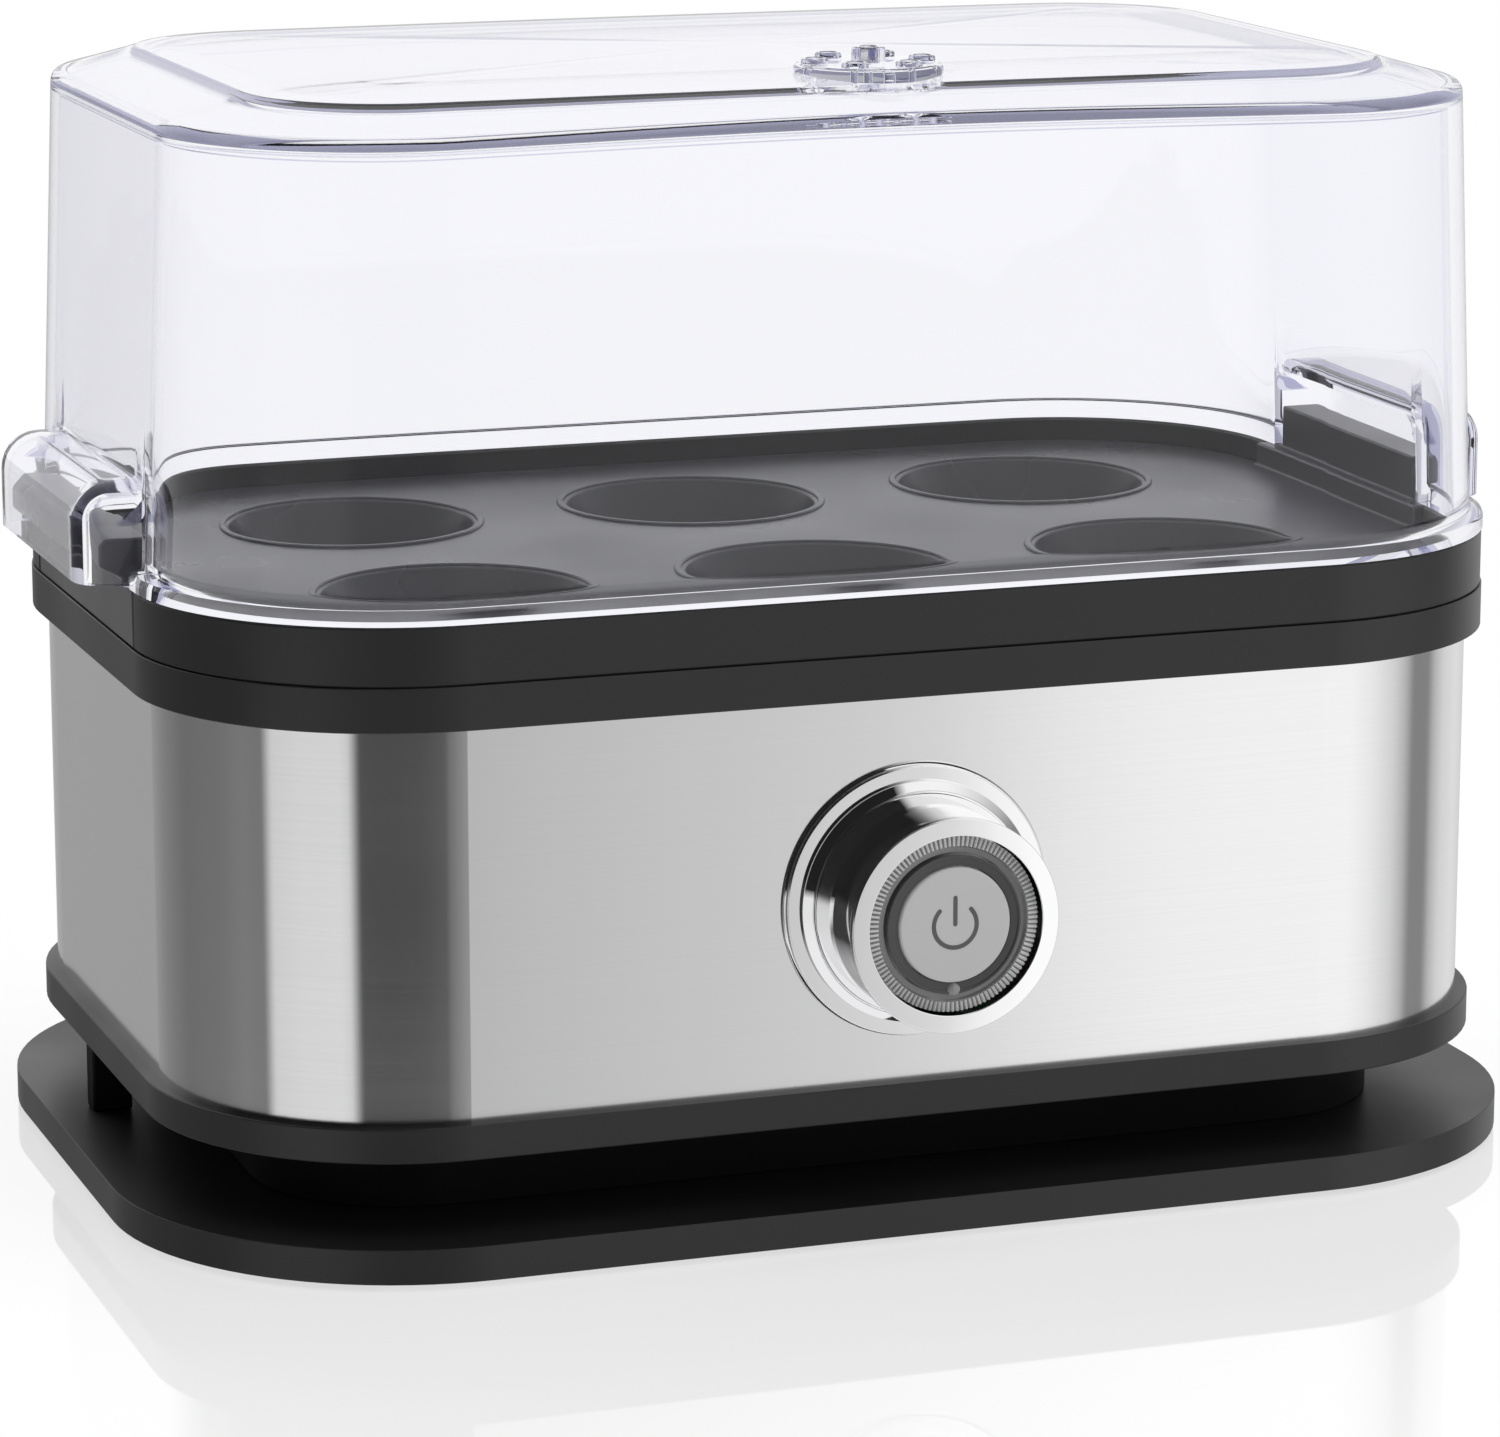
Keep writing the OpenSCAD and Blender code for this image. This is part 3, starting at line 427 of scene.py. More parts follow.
def rounded(corners: Sequence[Corner], steps: int = 4) -> list[Pair]:
    """A closed flat outline with its corners turned into arcs.

    Args:
        corners: Each corner's two coordinates and its radius.
        steps: Pieces in each arc.

    Returns:
        The points of the outline.
    """
    points: list[Pair] = []
    count = len(corners)
    for i, (x, y, r) in enumerate(corners):
        here = Vector((x, y))
        if r <= 0:
            points.append((x, y))
            continue
        back = Vector(corners[i - 1][:2]) - here
        ahead = Vector(corners[(i + 1) % count][:2]) - here
        half = back.angle(ahead) / 2
        reach = min(r / math.tan(half), 0.48 * back.length, 0.48 * ahead.length)
        radius = reach * math.tan(half)
        start, end = here + back.normalized() * reach, here + ahead.normalized() * reach
        centre = here + (back.normalized() + ahead.normalized()).normalized() * (radius / math.sin(half))
        first, last = start - centre, end - centre
        for step in range(steps + 1):
            arm = first.lerp(last, step / steps).normalized() * radius
            points.append(tuple(centre + arm))
    return points


def finished(name: str, mesh: bmesh.types.BMesh, finish: Finish, place: Matrix = Matrix(),
             sharp: float = 32.0) -> bpy.types.Object:
    """Turns a mesh in millimetres into an object in metres at the origin.

    Args:
        name: Name of the piece.
        mesh: The mesh, which is freed.
        finish: Its finish.
        place: Where the mesh's own frame lies in the cooker's, in millimetres.
        sharp: Angle in degrees above which an edge stays sharp.

    Returns:
        The new object.
    """
    mesh.transform(Matrix.Scale(MM, 4) @ place)
    bmesh.ops.remove_doubles(mesh, verts=mesh.verts, dist=1e-7)
    bmesh.ops.recalc_face_normals(mesh, faces=mesh.faces)
    data = bpy.data.meshes.new(name)
    mesh.to_mesh(data)
    mesh.free()
    data.polygons.foreach_set("use_smooth", [True] * len(data.polygons))
    data.set_sharp_from_angle(angle=math.radians(sharp))
    data.materials.append(finish.material())
    made = bpy.data.objects.new(name, data)
    bpy.context.scene.collection.objects.link(made)
    return made


def flattened(made: bpy.types.Object) -> bpy.types.Object:
    """Bends the normals of a piece towards its larger faces, so that flat faces look flat."""
    smooth = made.modifiers.new("normals", "WEIGHTED_NORMAL")
    smooth.keep_sharp = True
    smooth.weight = 80
    graph = bpy.context.evaluated_depsgraph_get()
    data = bpy.data.meshes.new_from_object(made.evaluated_get(graph))
    made.modifiers.clear()
    made.data = data
    return made


def turned(profile: Sequence[Pair], sides: int = 128) -> bmesh.types.BMesh:
    """A closed profile of radius and height, spun about Z.

    Args:
        profile: The outline; a radius of 0 lies on the axis.
        sides: Faces round the axis.

    Returns:
        The mesh, in the profile's units.
    """
    mesh = bmesh.new()
    rings = []
    for radius, height in profile:
        if radius < 1e-9:
            rings.append([mesh.verts.new((0, 0, height))] * sides)
            continue
        rings.append([mesh.verts.new((radius * math.cos(2 * math.pi * i / sides),
                                      radius * math.sin(2 * math.pi * i / sides), height))
                      for i in range(sides)])
    skin(mesh, rings, closed=True)
    return mesh


def skin(mesh: bmesh.types.BMesh, rings: Sequence[Sequence[bmesh.types.BMVert]], closed: bool) -> None:
    """Joins rings of the same length with faces.

    Args:
        mesh: The mesh that the rings are in.
        rings: The rings, each closed on itself.
        closed: Whether the last ring joins the first.
    """
    for j in range(len(rings) - (0 if closed else 1)):
        low, high = rings[j], rings[(j + 1) % len(rings)]
        for i in range(len(low)):
            k = (i + 1) % len(low)
            around = list(dict.fromkeys((low[i], low[k], high[k], high[i])))
            if len(around) > 2:
                mesh.faces.new(around)


@dataclass(frozen=True)
class Plan:
    """A rounded rectangle in plan, in millimetres, that can be grown or shrunk."""

    half_w: float
    half_d: float
    radius: float

    def stations(self, turns: int, sides: int, ends: Sequence[float]) -> list[tuple[Pair, Pair]]:
        """Points of the outline with their outward directions, from the right end anticlockwise.

        Args:
            turns: Pieces in each corner.
            sides: Pieces in the front and in the back.
            ends: Distances from the middle line of the points on each end, outwards.

        Returns:
            Pairs of a point and a direction.
        """
        x, y = self.half_w - self.radius, self.half_d - self.radius
        quarter = [((self.half_w, row), (1.0, 0.0)) for row in ends]
        for i in range(turns + 1):
            angle = math.pi / 2 * i / turns
            way = (math.cos(angle), math.sin(angle))
            quarter.append(((x + self.radius * way[0], y + self.radius * way[1]), way))
        quarter += [((x * (1 - 2 * i / sides), self.half_d), (0.0, 1.0)) for i in range(1, sides // 2)]
        quarter.append(((0.0, self.half_d), (0.0, 1.0)))
        left = [((-p[0], p[1]), (-n[0], n[1])) for p, n in reversed(quarter[:-1])]
        half = quarter + left
        front = [((p[0], -p[1]), (n[0], -n[1])) for p, n in reversed(half[1:-1])]
        return half + front


# ---- Geometry Nodes ----


class Tree:
    """A Geometry Nodes tree that places copies of a small mesh, with its sizes as named inputs."""

    def __init__(self, name: str, sizes: dict[str, tuple[str, object]]) -> None:
        """Starts a tree.

        Args:
            name: Name of the tree.
            sizes: Socket type and value of each named input.
        """
        self.group = bpy.data.node_groups.new(name, "GeometryNodeTree")
        face = self.group.interface
        face.new_socket("Geometry", in_out="INPUT", socket_type="NodeSocketGeometry")
        face.new_socket("Geometry", in_out="OUTPUT", socket_type="NodeSocketGeometry")
        self.values = {}
        for key, (kind, value) in sizes.items():
            item = face.new_socket(key, in_out="INPUT", socket_type=kind)
            self.values[item.identifier] = value
        self.start = self.group.nodes.new("NodeGroupInput")
        self.end = self.group.nodes.new("NodeGroupOutput")

    def size(self, name: str) -> bpy.types.NodeSocket:
        """The named input, as a socket to join from."""
        return self.start.outputs[name]

    def node(self, kind: str, settings: dict[str, object] | None = None,
             inputs: dict[object, object] | None = None, output: object = 0) -> bpy.types.NodeSocket:
        """Adds a node and returns one of its outputs.

        Args:
            kind: Type of the node.
            settings: Its properties.
            inputs: Value or link of each socket.
            output: Name or number of the output.

        Returns:
            The output's socket.
        """
        made = self.group.nodes.new(kind)
        for key, value in (settings or {}).items():
            setattr(made, key, value)
        for key, value in (inputs or {}).items():
            if isinstance(value, bpy.types.NodeSocket):
                self.group.links.new(value, made.inputs[key])
            else:
                made.inputs[key].default_value = value
        return made.outputs[output]

    def run(self, name: str, shape: bpy.types.NodeSocket, finish: Finish, place: Matrix,
            base: bpy.types.Mesh | None = None, sharp: float = 32.0) -> bpy.types.Object:
        """Realizes the copies, sets their finish and turns the result into a plain mesh.

        Args:
            name: Name of the piece.
            shape: The socket that holds the copies.
            finish: Their finish.
            place: Where the tree's own frame lies in the cooker's, in millimetres.
            base: Mesh that the tree starts from, or none.
            sharp: Angle in degrees above which an edge stays sharp.

        Returns:
            The new object, in metres at the origin.
        """
        real = self.node("GeometryNodeRealizeInstances", None, {0: shape})
        dressed = self.node("GeometryNodeSetMaterial", None, {0: real, "Material": finish.material()})
        self.group.links.new(dressed, self.end.inputs[0])
        carrier = bpy.data.objects.new(name + "_tree", base or bpy.data.meshes.new(name + "_tree"))
        bpy.context.scene.collection.objects.link(carrier)
        modifier = carrier.modifiers.new("copies", "NODES")
        modifier.node_group = self.group
        for identifier, value in self.values.items():
            modifier[identifier] = value
        bpy.context.view_layer.update()
        graph = bpy.context.evaluated_depsgraph_get()
        data = bpy.data.meshes.new_from_object(carrier.evaluated_get(graph))
        carrier.modifiers.remove(modifier)
        bpy.data.objects.remove(carrier)
        bpy.data.node_groups.remove(self.group)
        data.transform(Matrix.Scale(MM, 4) @ place)
        data.polygons.foreach_set("use_smooth", [True] * len(data.polygons))
        data.set_sharp_from_angle(angle=math.radians(sharp))
        data.name = name
        made = bpy.data.objects.new(name, data)
        bpy.context.scene.collection.objects.link(made)
        return made


def template(mesh: bmesh.types.BMesh) -> bpy.types.Object:
    """A small mesh that a tree copies; it is removed by scrap()."""
    bmesh.ops.recalc_face_normals(mesh, faces=mesh.faces)
    data = bpy.data.meshes.new("template")
    mesh.to_mesh(data)
    mesh.free()
    made = bpy.data.objects.new("template", data)
    bpy.context.scene.collection.objects.link(made)
    return made


def scrap(made: bpy.types.Object) -> None:
    """Removes a template."""
    bpy.data.objects.remove(made)


def ring_of(name: str, mesh: bmesh.types.BMesh, finish: Finish, place: Matrix, count: int,
            radius: float) -> bpy.types.Object:
    """Copies of a mesh round a circle, each turned to point outwards.

    Args:
        name: Name of the piece.
        mesh: The mesh to copy, with +X outwards.
        finish: Its finish.
        place: Where the circle lies, in millimetres.
        count: Number of copies.
        radius: Radius of the circle.

    Returns:
        The new object.
    """
    model = template(mesh)
    tree = Tree(name, {"Count": ("NodeSocketInt", count), "Radius": ("NodeSocketFloat", radius),
                       "Model": ("NodeSocketObject", model)})
    circle = tree.node("GeometryNodeMeshCircle", None,
                       {"Vertices": tree.size("Count"), "Radius": tree.size("Radius")})
    step = tree.node("ShaderNodeMath", {"operation": "DIVIDE"}, {0: 2 * math.pi, 1: tree.size("Count")})
    angle = tree.node("ShaderNodeMath", {"operation": "MULTIPLY"},
                      {0: tree.node("GeometryNodeInputIndex"), 1: step})
    spin = tree.node("ShaderNodeCombineXYZ", None, {2: angle})
    copies = tree.node("GeometryNodeInstanceOnPoints", None, {
        "Points": circle, "Rotation": spin,
        "Instance": tree.node("GeometryNodeObjectInfo", None, {0: tree.size("Model")}, "Geometry")})
    made = tree.run(name, copies, finish, place)
    scrap(model)
    return made


def copies_at(name: str, mesh: bmesh.types.BMesh, finish: Finish, place: Matrix,
              spots: Iterable[Sequence[float]]) -> bpy.types.Object:
    """Copies of a mesh at given points.

    Args:
        name: Name of the piece.
        mesh: The mesh to copy.
        finish: Its finish.
        place: Where the points' frame lies, in millimetres.
        spots: The points.

    Returns:
        The new object.
    """
    model = template(mesh)
    base = bpy.data.meshes.new(name + "_spots")
    base.from_pydata([tuple(s) for s in spots], [], [])
    tree = Tree(name, {"Model": ("NodeSocketObject", model)})
    shape = tree.node("GeometryNodeInstanceOnPoints", None, {
        "Points": tree.start.outputs[0],
        "Instance": tree.node("GeometryNodeObjectInfo", None, {0: tree.size("Model")}, "Geometry")})
    made = tree.run(name, shape, finish, place, base)
    scrap(model)
    return made


def softened(node: str, width: float, finish: Finish, steps: int = 2) -> bpy.types.Object:
    """A copy of a CAD node with its sharp edges rounded, which stands for the node.

    Args:
        node: Name of the CAD node.
        width: Width of the rounding, in millimetres.
        finish: Its finish.
        steps: Pieces in each rounding.

    Returns:
        The new object.
    """
    mesh = bmesh.new()
    mesh.from_mesh(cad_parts[node].data)
    bmesh.ops.remove_doubles(mesh, verts=mesh.verts, dist=2e-6)
    flat = math.radians(0.05)
    bmesh.ops.dissolve_limit(mesh, angle_limit=flat, verts=mesh.verts, edges=mesh.edges)
    mesh.transform(Matrix.Scale(1 / MM, 4))
    made = finished(node + "_soft", mesh, finish, sharp=28.0)
    edge = made.modifiers.new("edge", "BEVEL")
    edge.width = width * MM
    edge.segments = steps
    edge.limit_method = "ANGLE"
    edge.angle_limit = math.radians(28.0)
    edge.harden_normals = False
    return flattened(made)


def settle(piece: bpy.types.Object, body: str, slot: str, *nodes: str) -> bpy.types.Object:
    """Makes a piece ride on its body, in place of the nodes that it stands for.

    Args:
        piece: The piece.
        body: The body that it rides on.
        slot: The record's material slot; not used.
        nodes: The CAD nodes that it replaces.

    Returns:
        The piece.
    """
    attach(piece, body)
    if nodes:
        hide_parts(*nodes)
    LOG.info("%s on %s, %d faces", piece.name, body, len(piece.data.polygons))
    return piece


def dress(finish: Finish, *nodes: str) -> None:
    """Gives CAD nodes a finish and leaves their shape alone."""
    for node in nodes:
        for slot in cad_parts[node].material_slots:
            slot.material = finish.material()
        LOG.info("%s dressed in %s", node, finish.name)


# ---- The cooker's sub-assemblies ----


def node_box(node: str) -> tuple[Vector, Vector]:
    """Lowest and highest corner of a CAD node, in millimetres."""
    low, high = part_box(node)
    return low / MM, high / MM


@dataclass(frozen=True)
class Body:
    """The steel band's plan and levels, which the other sub-assemblies take their places from."""

    plan: Plan
    middle: float
    z_band: float
    z_top: float

    @classmethod
    def from_frame(cls, radius: float = 32.5) -> "Body":
        """Reads the sizes from the CAD nodes.

        Args:
            radius: Corner radius of the steel in plan.

        Returns:
            The body's sizes.
        """
        low, high = node_box("steel_band")
        plan = Plan((high.x - low.x) / 2, (high.y - low.y) / 2, radius)
        return cls(plan, (low.y + high.y) / 2, low.z, node_box("upper_rim")[1].z)

    @property
    def place(self) -> Matrix:
        """Moves a body-centred drawing to its place."""
        return Matrix.Translation((0, self.middle, 0))


@dataclass(frozen=True)
class Base:
    """Plinth, skirt, steel band and the two black rings."""

    body: Body
    edge: float = 0.35
    plinth_edge: float = 0.7
    skirt: float = 4.6
    foot_radius: float = 7.0
    foot_grooves: int = 3

    def dress_shell(self) -> None:
        """Steel and black mouldings, with their edges rounded."""
        dress(Looks.STEEL, "steel_band")
        for node, width, finish in (("plinth", self.plinth_edge, Looks.BLACK),
                                    ("bottom_housing", self.edge, Looks.BLACK),
                                    ("main_housing", self.edge, Looks.BLACK),
                                    ("upper_rim", self.edge, Looks.BLACK),
                                    # The cord posts take the black with painted shade, darker than their
                                    # plastic's own.
                                    ("cord_post_left", self.edge, Looks.SHADE_BLACK),
                                    ("cord_post_right", self.edge, Looks.SHADE_BLACK)):
            made = settle(softened(node, width, finish), "base", "black_plastic", node)
            # Painted shade on the core below the skirt.
            if node == "bottom_housing":
                self.paint_core_shade(made)

    def paint_core_shade(self, housing: bpy.types.Object) -> None:
        """Paints shade on the core under the skirt: its faces below the skirt take a deeper black that stands
        in for shade.
        """
        level = (self.body.z_band - self.skirt + 0.02) * MM
        housing.data.materials.append(Looks.SHADE_BLACK.material())
        for face in housing.data.polygons:
            if face.center.z < level:
                face.material_index = 1

    def add_feet(self) -> None:
        """Rubber feet with a rounded rim and rings in the sole."""
        for node in ("foot_front_left", "foot_front_right", "foot_rear_left", "foot_rear_right"):
            low, high = node_box(node)
            height = high.z - low.z
            sole = [(0.0, 0.0, 0.0)]
            step = self.foot_radius / (self.foot_grooves + 1)
            for i in range(1, self.foot_grooves + 1):
                at = step * i
                sole += [(at - 0.4, 0.0, 0.1), (at - 0.3, 0.35, 0.1),
                         (at + 0.3, 0.35, 0.1), (at + 0.4, 0.0, 0.1)]
            profile = sole + [(self.foot_radius, 0.0, 0.4), (self.foot_radius, height, 0.2),
                              (0.0, height, 0.0)]
            place = Matrix.Translation(((low.x + high.x) / 2, (low.y + high.y) / 2, low.z))
            settle(finished(node + "_sole", turned(rounded(profile), 64), Looks.RUBBER, place),
                   "base", "foot_rubber", node)

    def build(self) -> None:
        """Builds the sub-assembly."""
        self.dress_shell()
        self.add_feet()


@dataclass(frozen=True)
class Lid:
    """The clear lid: one moulded shell with a grip wing at each end, and the steam vent on top."""

    body: Body
    z_foot: float
    reach: float
    foot: float = 0.2
    flange: float = 1.9
    thickness: float = 2.0
    height: float = 60.0
    lean: float = 2.3
    edge_radius: float = 1.7
    band: float = 9.6
    band_rise: float = 2.6
    dome_rise: float = 1.4
    crown_rise: float = 0.8
    crown_reach: float = 0.82
    step_rise: float = 0.3
    wing_half: float = 25.5
    wing_height: float = 13.0
    wing_radius: float = 5.0
    wing_cove: float = 1.0
    vent: Pair = (3.2, -36.7)
    vent_radius: float = 9.7
    vent_thick: float = 1.7
    vent_ring: float = 7.2
    vent_first: float = -4.0
    vent_count: int = 6
    tube_radius: float = 1.75
    tube_proud: float = 0.7
    tall_radius: float = 2.2
    tall_proud: float = 2.0
    steam_radius: float = 1.15
    steam_neck: float = 0.45

    @classmethod
    def from_frame(cls, body: Body) -> "Lid":
        """Reads the lid's level and reach from its CAD node."""
        low, high = node_box("lid")
        return cls(body, low.z, (high.x - low.x) / 2 - body.plan.half_w)

    @property
    def head(self) -> float:
        """Offset of the wall at its top edge."""
        return self.foot - self.lean

    @property
    def band_in(self) -> float:
        """Offset of the line where the sloped band meets the dome."""
        return self.head - self.edge_radius - self.band + 0.2

    def crown(self, x: float) -> float:
        """Extra height of the top edge at a place along the width."""
        u = x / (self.crown_reach * self.body.plan.half_w)
        return self.crown_rise * (1 - u * u) ** 2 if abs(u) < 1 else 0.0

    def wall(self, z: float) -> float:
        """Offset of the leaning wall at a height above the foot."""
        low, high = 2.8, self.height - self.edge_radius
        return self.foot - self.lean * min(1.0, max(0.0, (z - low) / (high - low)))

    def plain(self, inside: float) -> list[Pair]:
        """Lower part of the wall away from the wings, from the foot up.

        Args:
            inside: 0 for the outer face, or the wall's thickness for the inner one.

        Returns:
            Offsets and heights.
        """
        if inside:
            low = [(self.foot - inside, z) for z in (0.0, 0.8, 1.6, 2.2, 2.8)]
        else:
            rim = self.foot + self.flange
            low = [(rim, 0.0), (rim, 1.5), (rim - 0.25, 2.05), (self.foot + 0.35, 2.4), (self.foot, 2.8)]
        top = self.wing_height + self.wing_cove
        rest = [low[-1][1] + (top - low[-1][1]) * i / 13 for i in range(1, 14)]
        return low + [(self.wall(z) - inside, z) for z in rest]

    def winged(self, inside: float, radius: float, cove: float) -> list[Pair]:
        """Lower part of the wall through a wing, with as many points as the plain one.

        Args:
            inside: 0 for the outer face, or the wall's thickness for the inner one.
            radius: Radius of the wing's round edge at this place.
            cove: Radius of the hollow where the wing's top meets the wall.

        Returns:
            Offsets and heights.
        """
        centre_o = self.reach - self.wing_radius
        centre_z = self.wing_height - self.wing_radius
        out = centre_o + radius
        low = [(out, z) for z in (0.3, 0.9, 1.6, 2.2, 2.8)]
        face = [(out, 2.8 + (centre_z - 2.8) * i / 3) for i in (1, 2)]
        arc = [(centre_o + radius * math.cos(math.pi / 2 * i / 7),
                centre_z + radius * math.sin(math.pi / 2 * i / 7)) for i in range(8)]
        top = centre_z + radius
        near = self.wall(top) - inside
        hollow = [(near + cove, top), (near + 0.3 * cove, top + 0.3 * cove), (near, top + cove)]
        return low + face + arc + hollow

    def lower(self, y: float, on_end: bool, inside: float) -> list[Pair]:
        """Lower part of the wall at one station.

        Args:
            y: Distance of the station from the middle line.
            on_end: Whether the station is on an end wall.
            inside: 0 for the outer face, or the wall's thickness for the inner one.

        Returns:
            Offsets and heights, from the foot up.
        """
        plain = self.plain(inside)
        full = self.wing_radius - inside
        start = self.wing_half - self.wing_radius
        past = abs(y) - start
        cove = self.wing_cove
        if not on_end or past > full + cove:
            return plain
        if past <= 0:
            return self.winged(inside, full, cove)
        if past <= full:
            return self.winged(inside, math.sqrt(max(0.0, full * full - past * past)), cove)
        share = (past - full) / cove
        fade = 1 - math.sqrt(max(0.0, 1 - (1 - share) ** 2))
        wing = self.winged(inside, 0.0, cove)
        return [(a[0] + (b[0] - a[0]) * fade, a[1] + (b[1] - a[1]) * fade) for a, b in zip(plain, wing)]

    def upper(self, inside: float) -> list[Corner]:
        """Upper part of the wall, the top edge, the band and the dome.

        Args:
            inside: 0 for the outer face, or the wall's thickness for the inner one.

        Returns:
            Offsets, heights and shares of the crown.
        """
        tighter = 0.5 * min(inside, 1.0)
        r = self.edge_radius - tighter
        centre = (self.head - self.edge_radius - (inside - tighter),
                  self.height - self.edge_radius - (inside - tighter))
        rows = [(self.wall(z) - inside, z, share) for z, share in
                ((20.0, 0.0), (30.0, 0.15), (40.0, 0.4), (48.0, 0.7), (54.0, 0.9), (57.0, 1.0))]
        steep = math.atan2(self.band_rise, self.band)
        for i in range(9):
            angle = (math.pi / 2 - steep) * i / 8
            rows.append((centre[0] + r * math.cos(angle), centre[1] + r * math.sin(angle), 1.0))
        start, end = rows[-1], (self.band_in - inside * 0.3, self.height + self.band_rise - inside)
        for i in (1, 2, 3):
            k = i / 4
            rows.append((start[0] + (end[0] - start[0]) * k, start[1] + (end[1] - start[1]) * k, 1 - 0.8 * k))
        step = 0.0 if inside else self.step_rise
        rows += [(end[0] + 0.35, end[1] - 0.02, 0.2), (end[0] - 0.1, end[1] + 0.3 * step, 0.2),
                 (end[0] - 0.4, end[1] + 0.9 * step, 0.18), (end[0] - 0.9, end[1] + step, 0.15)]
        left = self.body.plan.radius + self.band_in - 0.9
        for k in (0.12, 0.25, 0.4, 0.6, 0.8):
            rise = (self.dome_rise - self.step_rise) * (1 - (1 - k) ** 2)
            rows.append((end[0] - 0.9 - k * left, end[1] + self.step_rise * (1 if not inside else 0.6) + rise,
                         0.15 * (1 - k)))
        return rows

    def shell(self) -> bmesh.types.BMesh:
        """The moulded shell without its vent."""
        full_out = self.wing_half - self.wing_radius
        marks = [0, 8, 14, 18, full_out]
        marks += [full_out + self.wing_radius * math.sin(math.pi / 2 * i / 9) for i in range(1, 10)]
        marks += [full_out + self.wing_radius - self.thickness + d
                  for d in (-0.9, -0.35, -0.1, 0.0, 0.2, 0.5, 1.0)]
        marks += [self.wing_half + d for d in (0.15, 0.35, 0.6, 1.0)]
        ends = sorted(set(round(m, 3) for m in marks))
        plan = self.body.plan
        mesh = bmesh.new()
        columns = []
        for (x, y), (nx, ny) in plan.stations(turns=22, sides=28, ends=ends):
            on_end = abs(nx) > 0.999
            column = []
            for inside in (0.0, self.thickness):
                rows = [(o, z, 0.0) for o, z in self.lower(y, on_end, inside)] + self.upper(inside)
                if inside:
                    rows.reverse()
                for o, z, share in rows:
                    spot = (x + nx * o, y + ny * o, self.z_foot + z + share * self.crown(x))
                    column.append(mesh.verts.new(spot))
            columns.append(column)
        half = len(columns[0]) // 2
        for a, b in zip(columns, columns[1:] + columns[:1]):
            for j in range(2 * half):
                k = (j + 1) % (2 * half)
                if j != half - 1:
                    mesh.faces.new((a[j], b[j], b[k], a[k]))
        top = self.height + self.band_rise + self.dome_rise
        for row, z in ((half - 1, top), (half, top - self.thickness)):
            tip = mesh.verts.new((0, 0, self.z_foot + z))
            for a, b in zip(columns, columns[1:] + columns[:1]):
                mesh.faces.new((a[row], b[row], tip))
        return mesh

    @property
    def z_disc(self) -> float:
        """Level of the vent disc's top."""
        return self.z_foot + self.height + self.band_rise + 0.5 + self.vent_thick

    def vent_rings(self) -> list[tuple[float, float, float, float]]:
        """Radius, top and place of each vent tube, the tall one first."""
        rings = [(self.tall_radius, self.z_disc + self.tall_proud, 0.0, 0.0)]
        for i in range(self.vent_count):
            angle = math.radians(self.vent_first + 360 * i / self.vent_count)
            rings.append((self.tube_radius, self.z_disc + self.tube_proud,
                          self.vent_ring * math.cos(angle), self.vent_ring * math.sin(angle)))
        return rings

    def joined(self, shell: bpy.types.Object, tool: bpy.types.Object, operation: str) -> None:
        """Adds a tool to the shell or cuts it away, and removes the tool."""
        modifier = shell.modifiers.new("vent", "BOOLEAN")
        modifier.object = tool
        modifier.operation = operation
        modifier.solver = "EXACT"
        graph = bpy.context.evaluated_depsgraph_get()
        data = bpy.data.meshes.new_from_object(shell.evaluated_get(graph))
        shell.modifiers.clear()
        shell.data = data
        bpy.data.objects.remove(tool)

    def build(self) -> None:
        """Builds the lid with its vent."""
        place = self.body.place
        lid = finished("clear_cover", self.shell(), Looks.LID, place, sharp=50.0)
        z_disc = self.z_disc
        at_vent = place @ Matrix.Translation((self.vent[0], self.vent[1], 0))
        low = z_disc - self.vent_thick - 1.2
        disc = rounded([(0, low, 0), (self.vent_radius, low, 0),
                        (self.vent_radius, z_disc, 0.8), (0, z_disc, 0)])
        self.joined(lid, finished("disc", turned(disc, 72), Looks.LID, at_vent), "UNION")
        tall, *small = self.vent_rings()
        for name, rings in (("tall", [tall]), ("small", small)):
            r, top = rings[0][0], rings[0][1]
            tube = rounded([(0, z_disc - 0.6, 0), (r, z_disc - 0.6, 0), (r, top, 0.4), (0, top, 0)])
            spots = [(x, y, 0) for _, _, x, y in rings]
            self.joined(lid, copies_at(name, turned(tube, 32), Looks.LID, at_vent, spots), "UNION")
        hole = [(0, low - 6), (self.steam_neck, low - 6), (self.steam_neck, z_disc - 0.7),
                (self.steam_radius, z_disc - 0.1), (self.steam_radius, tall[1] + 2), (0, tall[1] + 2)]
        spots = [(x, y, 0) for _, _, x, y in [tall] + small]
        self.joined(lid, copies_at("holes", turned(hole, 24), Looks.LID, at_vent, spots), "DIFFERENCE")
        lid.data.materials.clear()
        lid.data.materials.append(Looks.LID.material())
        lid.data.set_sharp_from_angle(angle=math.radians(40.0))
        settle(lid, "lid", "clear_lid", "lid")


@dataclass(frozen=True)
class Tray:
    """The egg tray, with a bead round each seat."""

    body: Body
    top_drop: float = 3.2
    seat_radius: float = 17.5
    seat_lip: float = 0.9
    seat_pitch: float = 50.0
    seat_row: float = 26.0
    bead: float = 0.5
    edge: float = 0.3

    def seat_spots(self) -> list[tuple[float, float, float]]:
        """Middles of the seats on the tray's surface."""
        return [(x, y, self.body.z_top - self.top_drop) for x in (-self.seat_pitch, 0.0, self.seat_pitch)
                for y in (-self.seat_row, self.seat_row)]

    def build(self) -> None:
        """Builds the tray."""
        settle(softened("egg_tray", self.edge, Looks.TRAY), "tray", "tray_plastic", "egg_tray")
        r = self.seat_radius + self.seat_lip
        bead = rounded([(r - self.bead, -0.3, 0), (r + self.bead, -0.3, 0), (r + self.bead, 0.35, 0.3),
                        (r - self.bead, 0.35, 0.3)])
        settle(copies_at("seat_beads", turned(bead, 96), Looks.TRAY, self.body.place, self.seat_spots()),
               "tray", "tray_plastic")


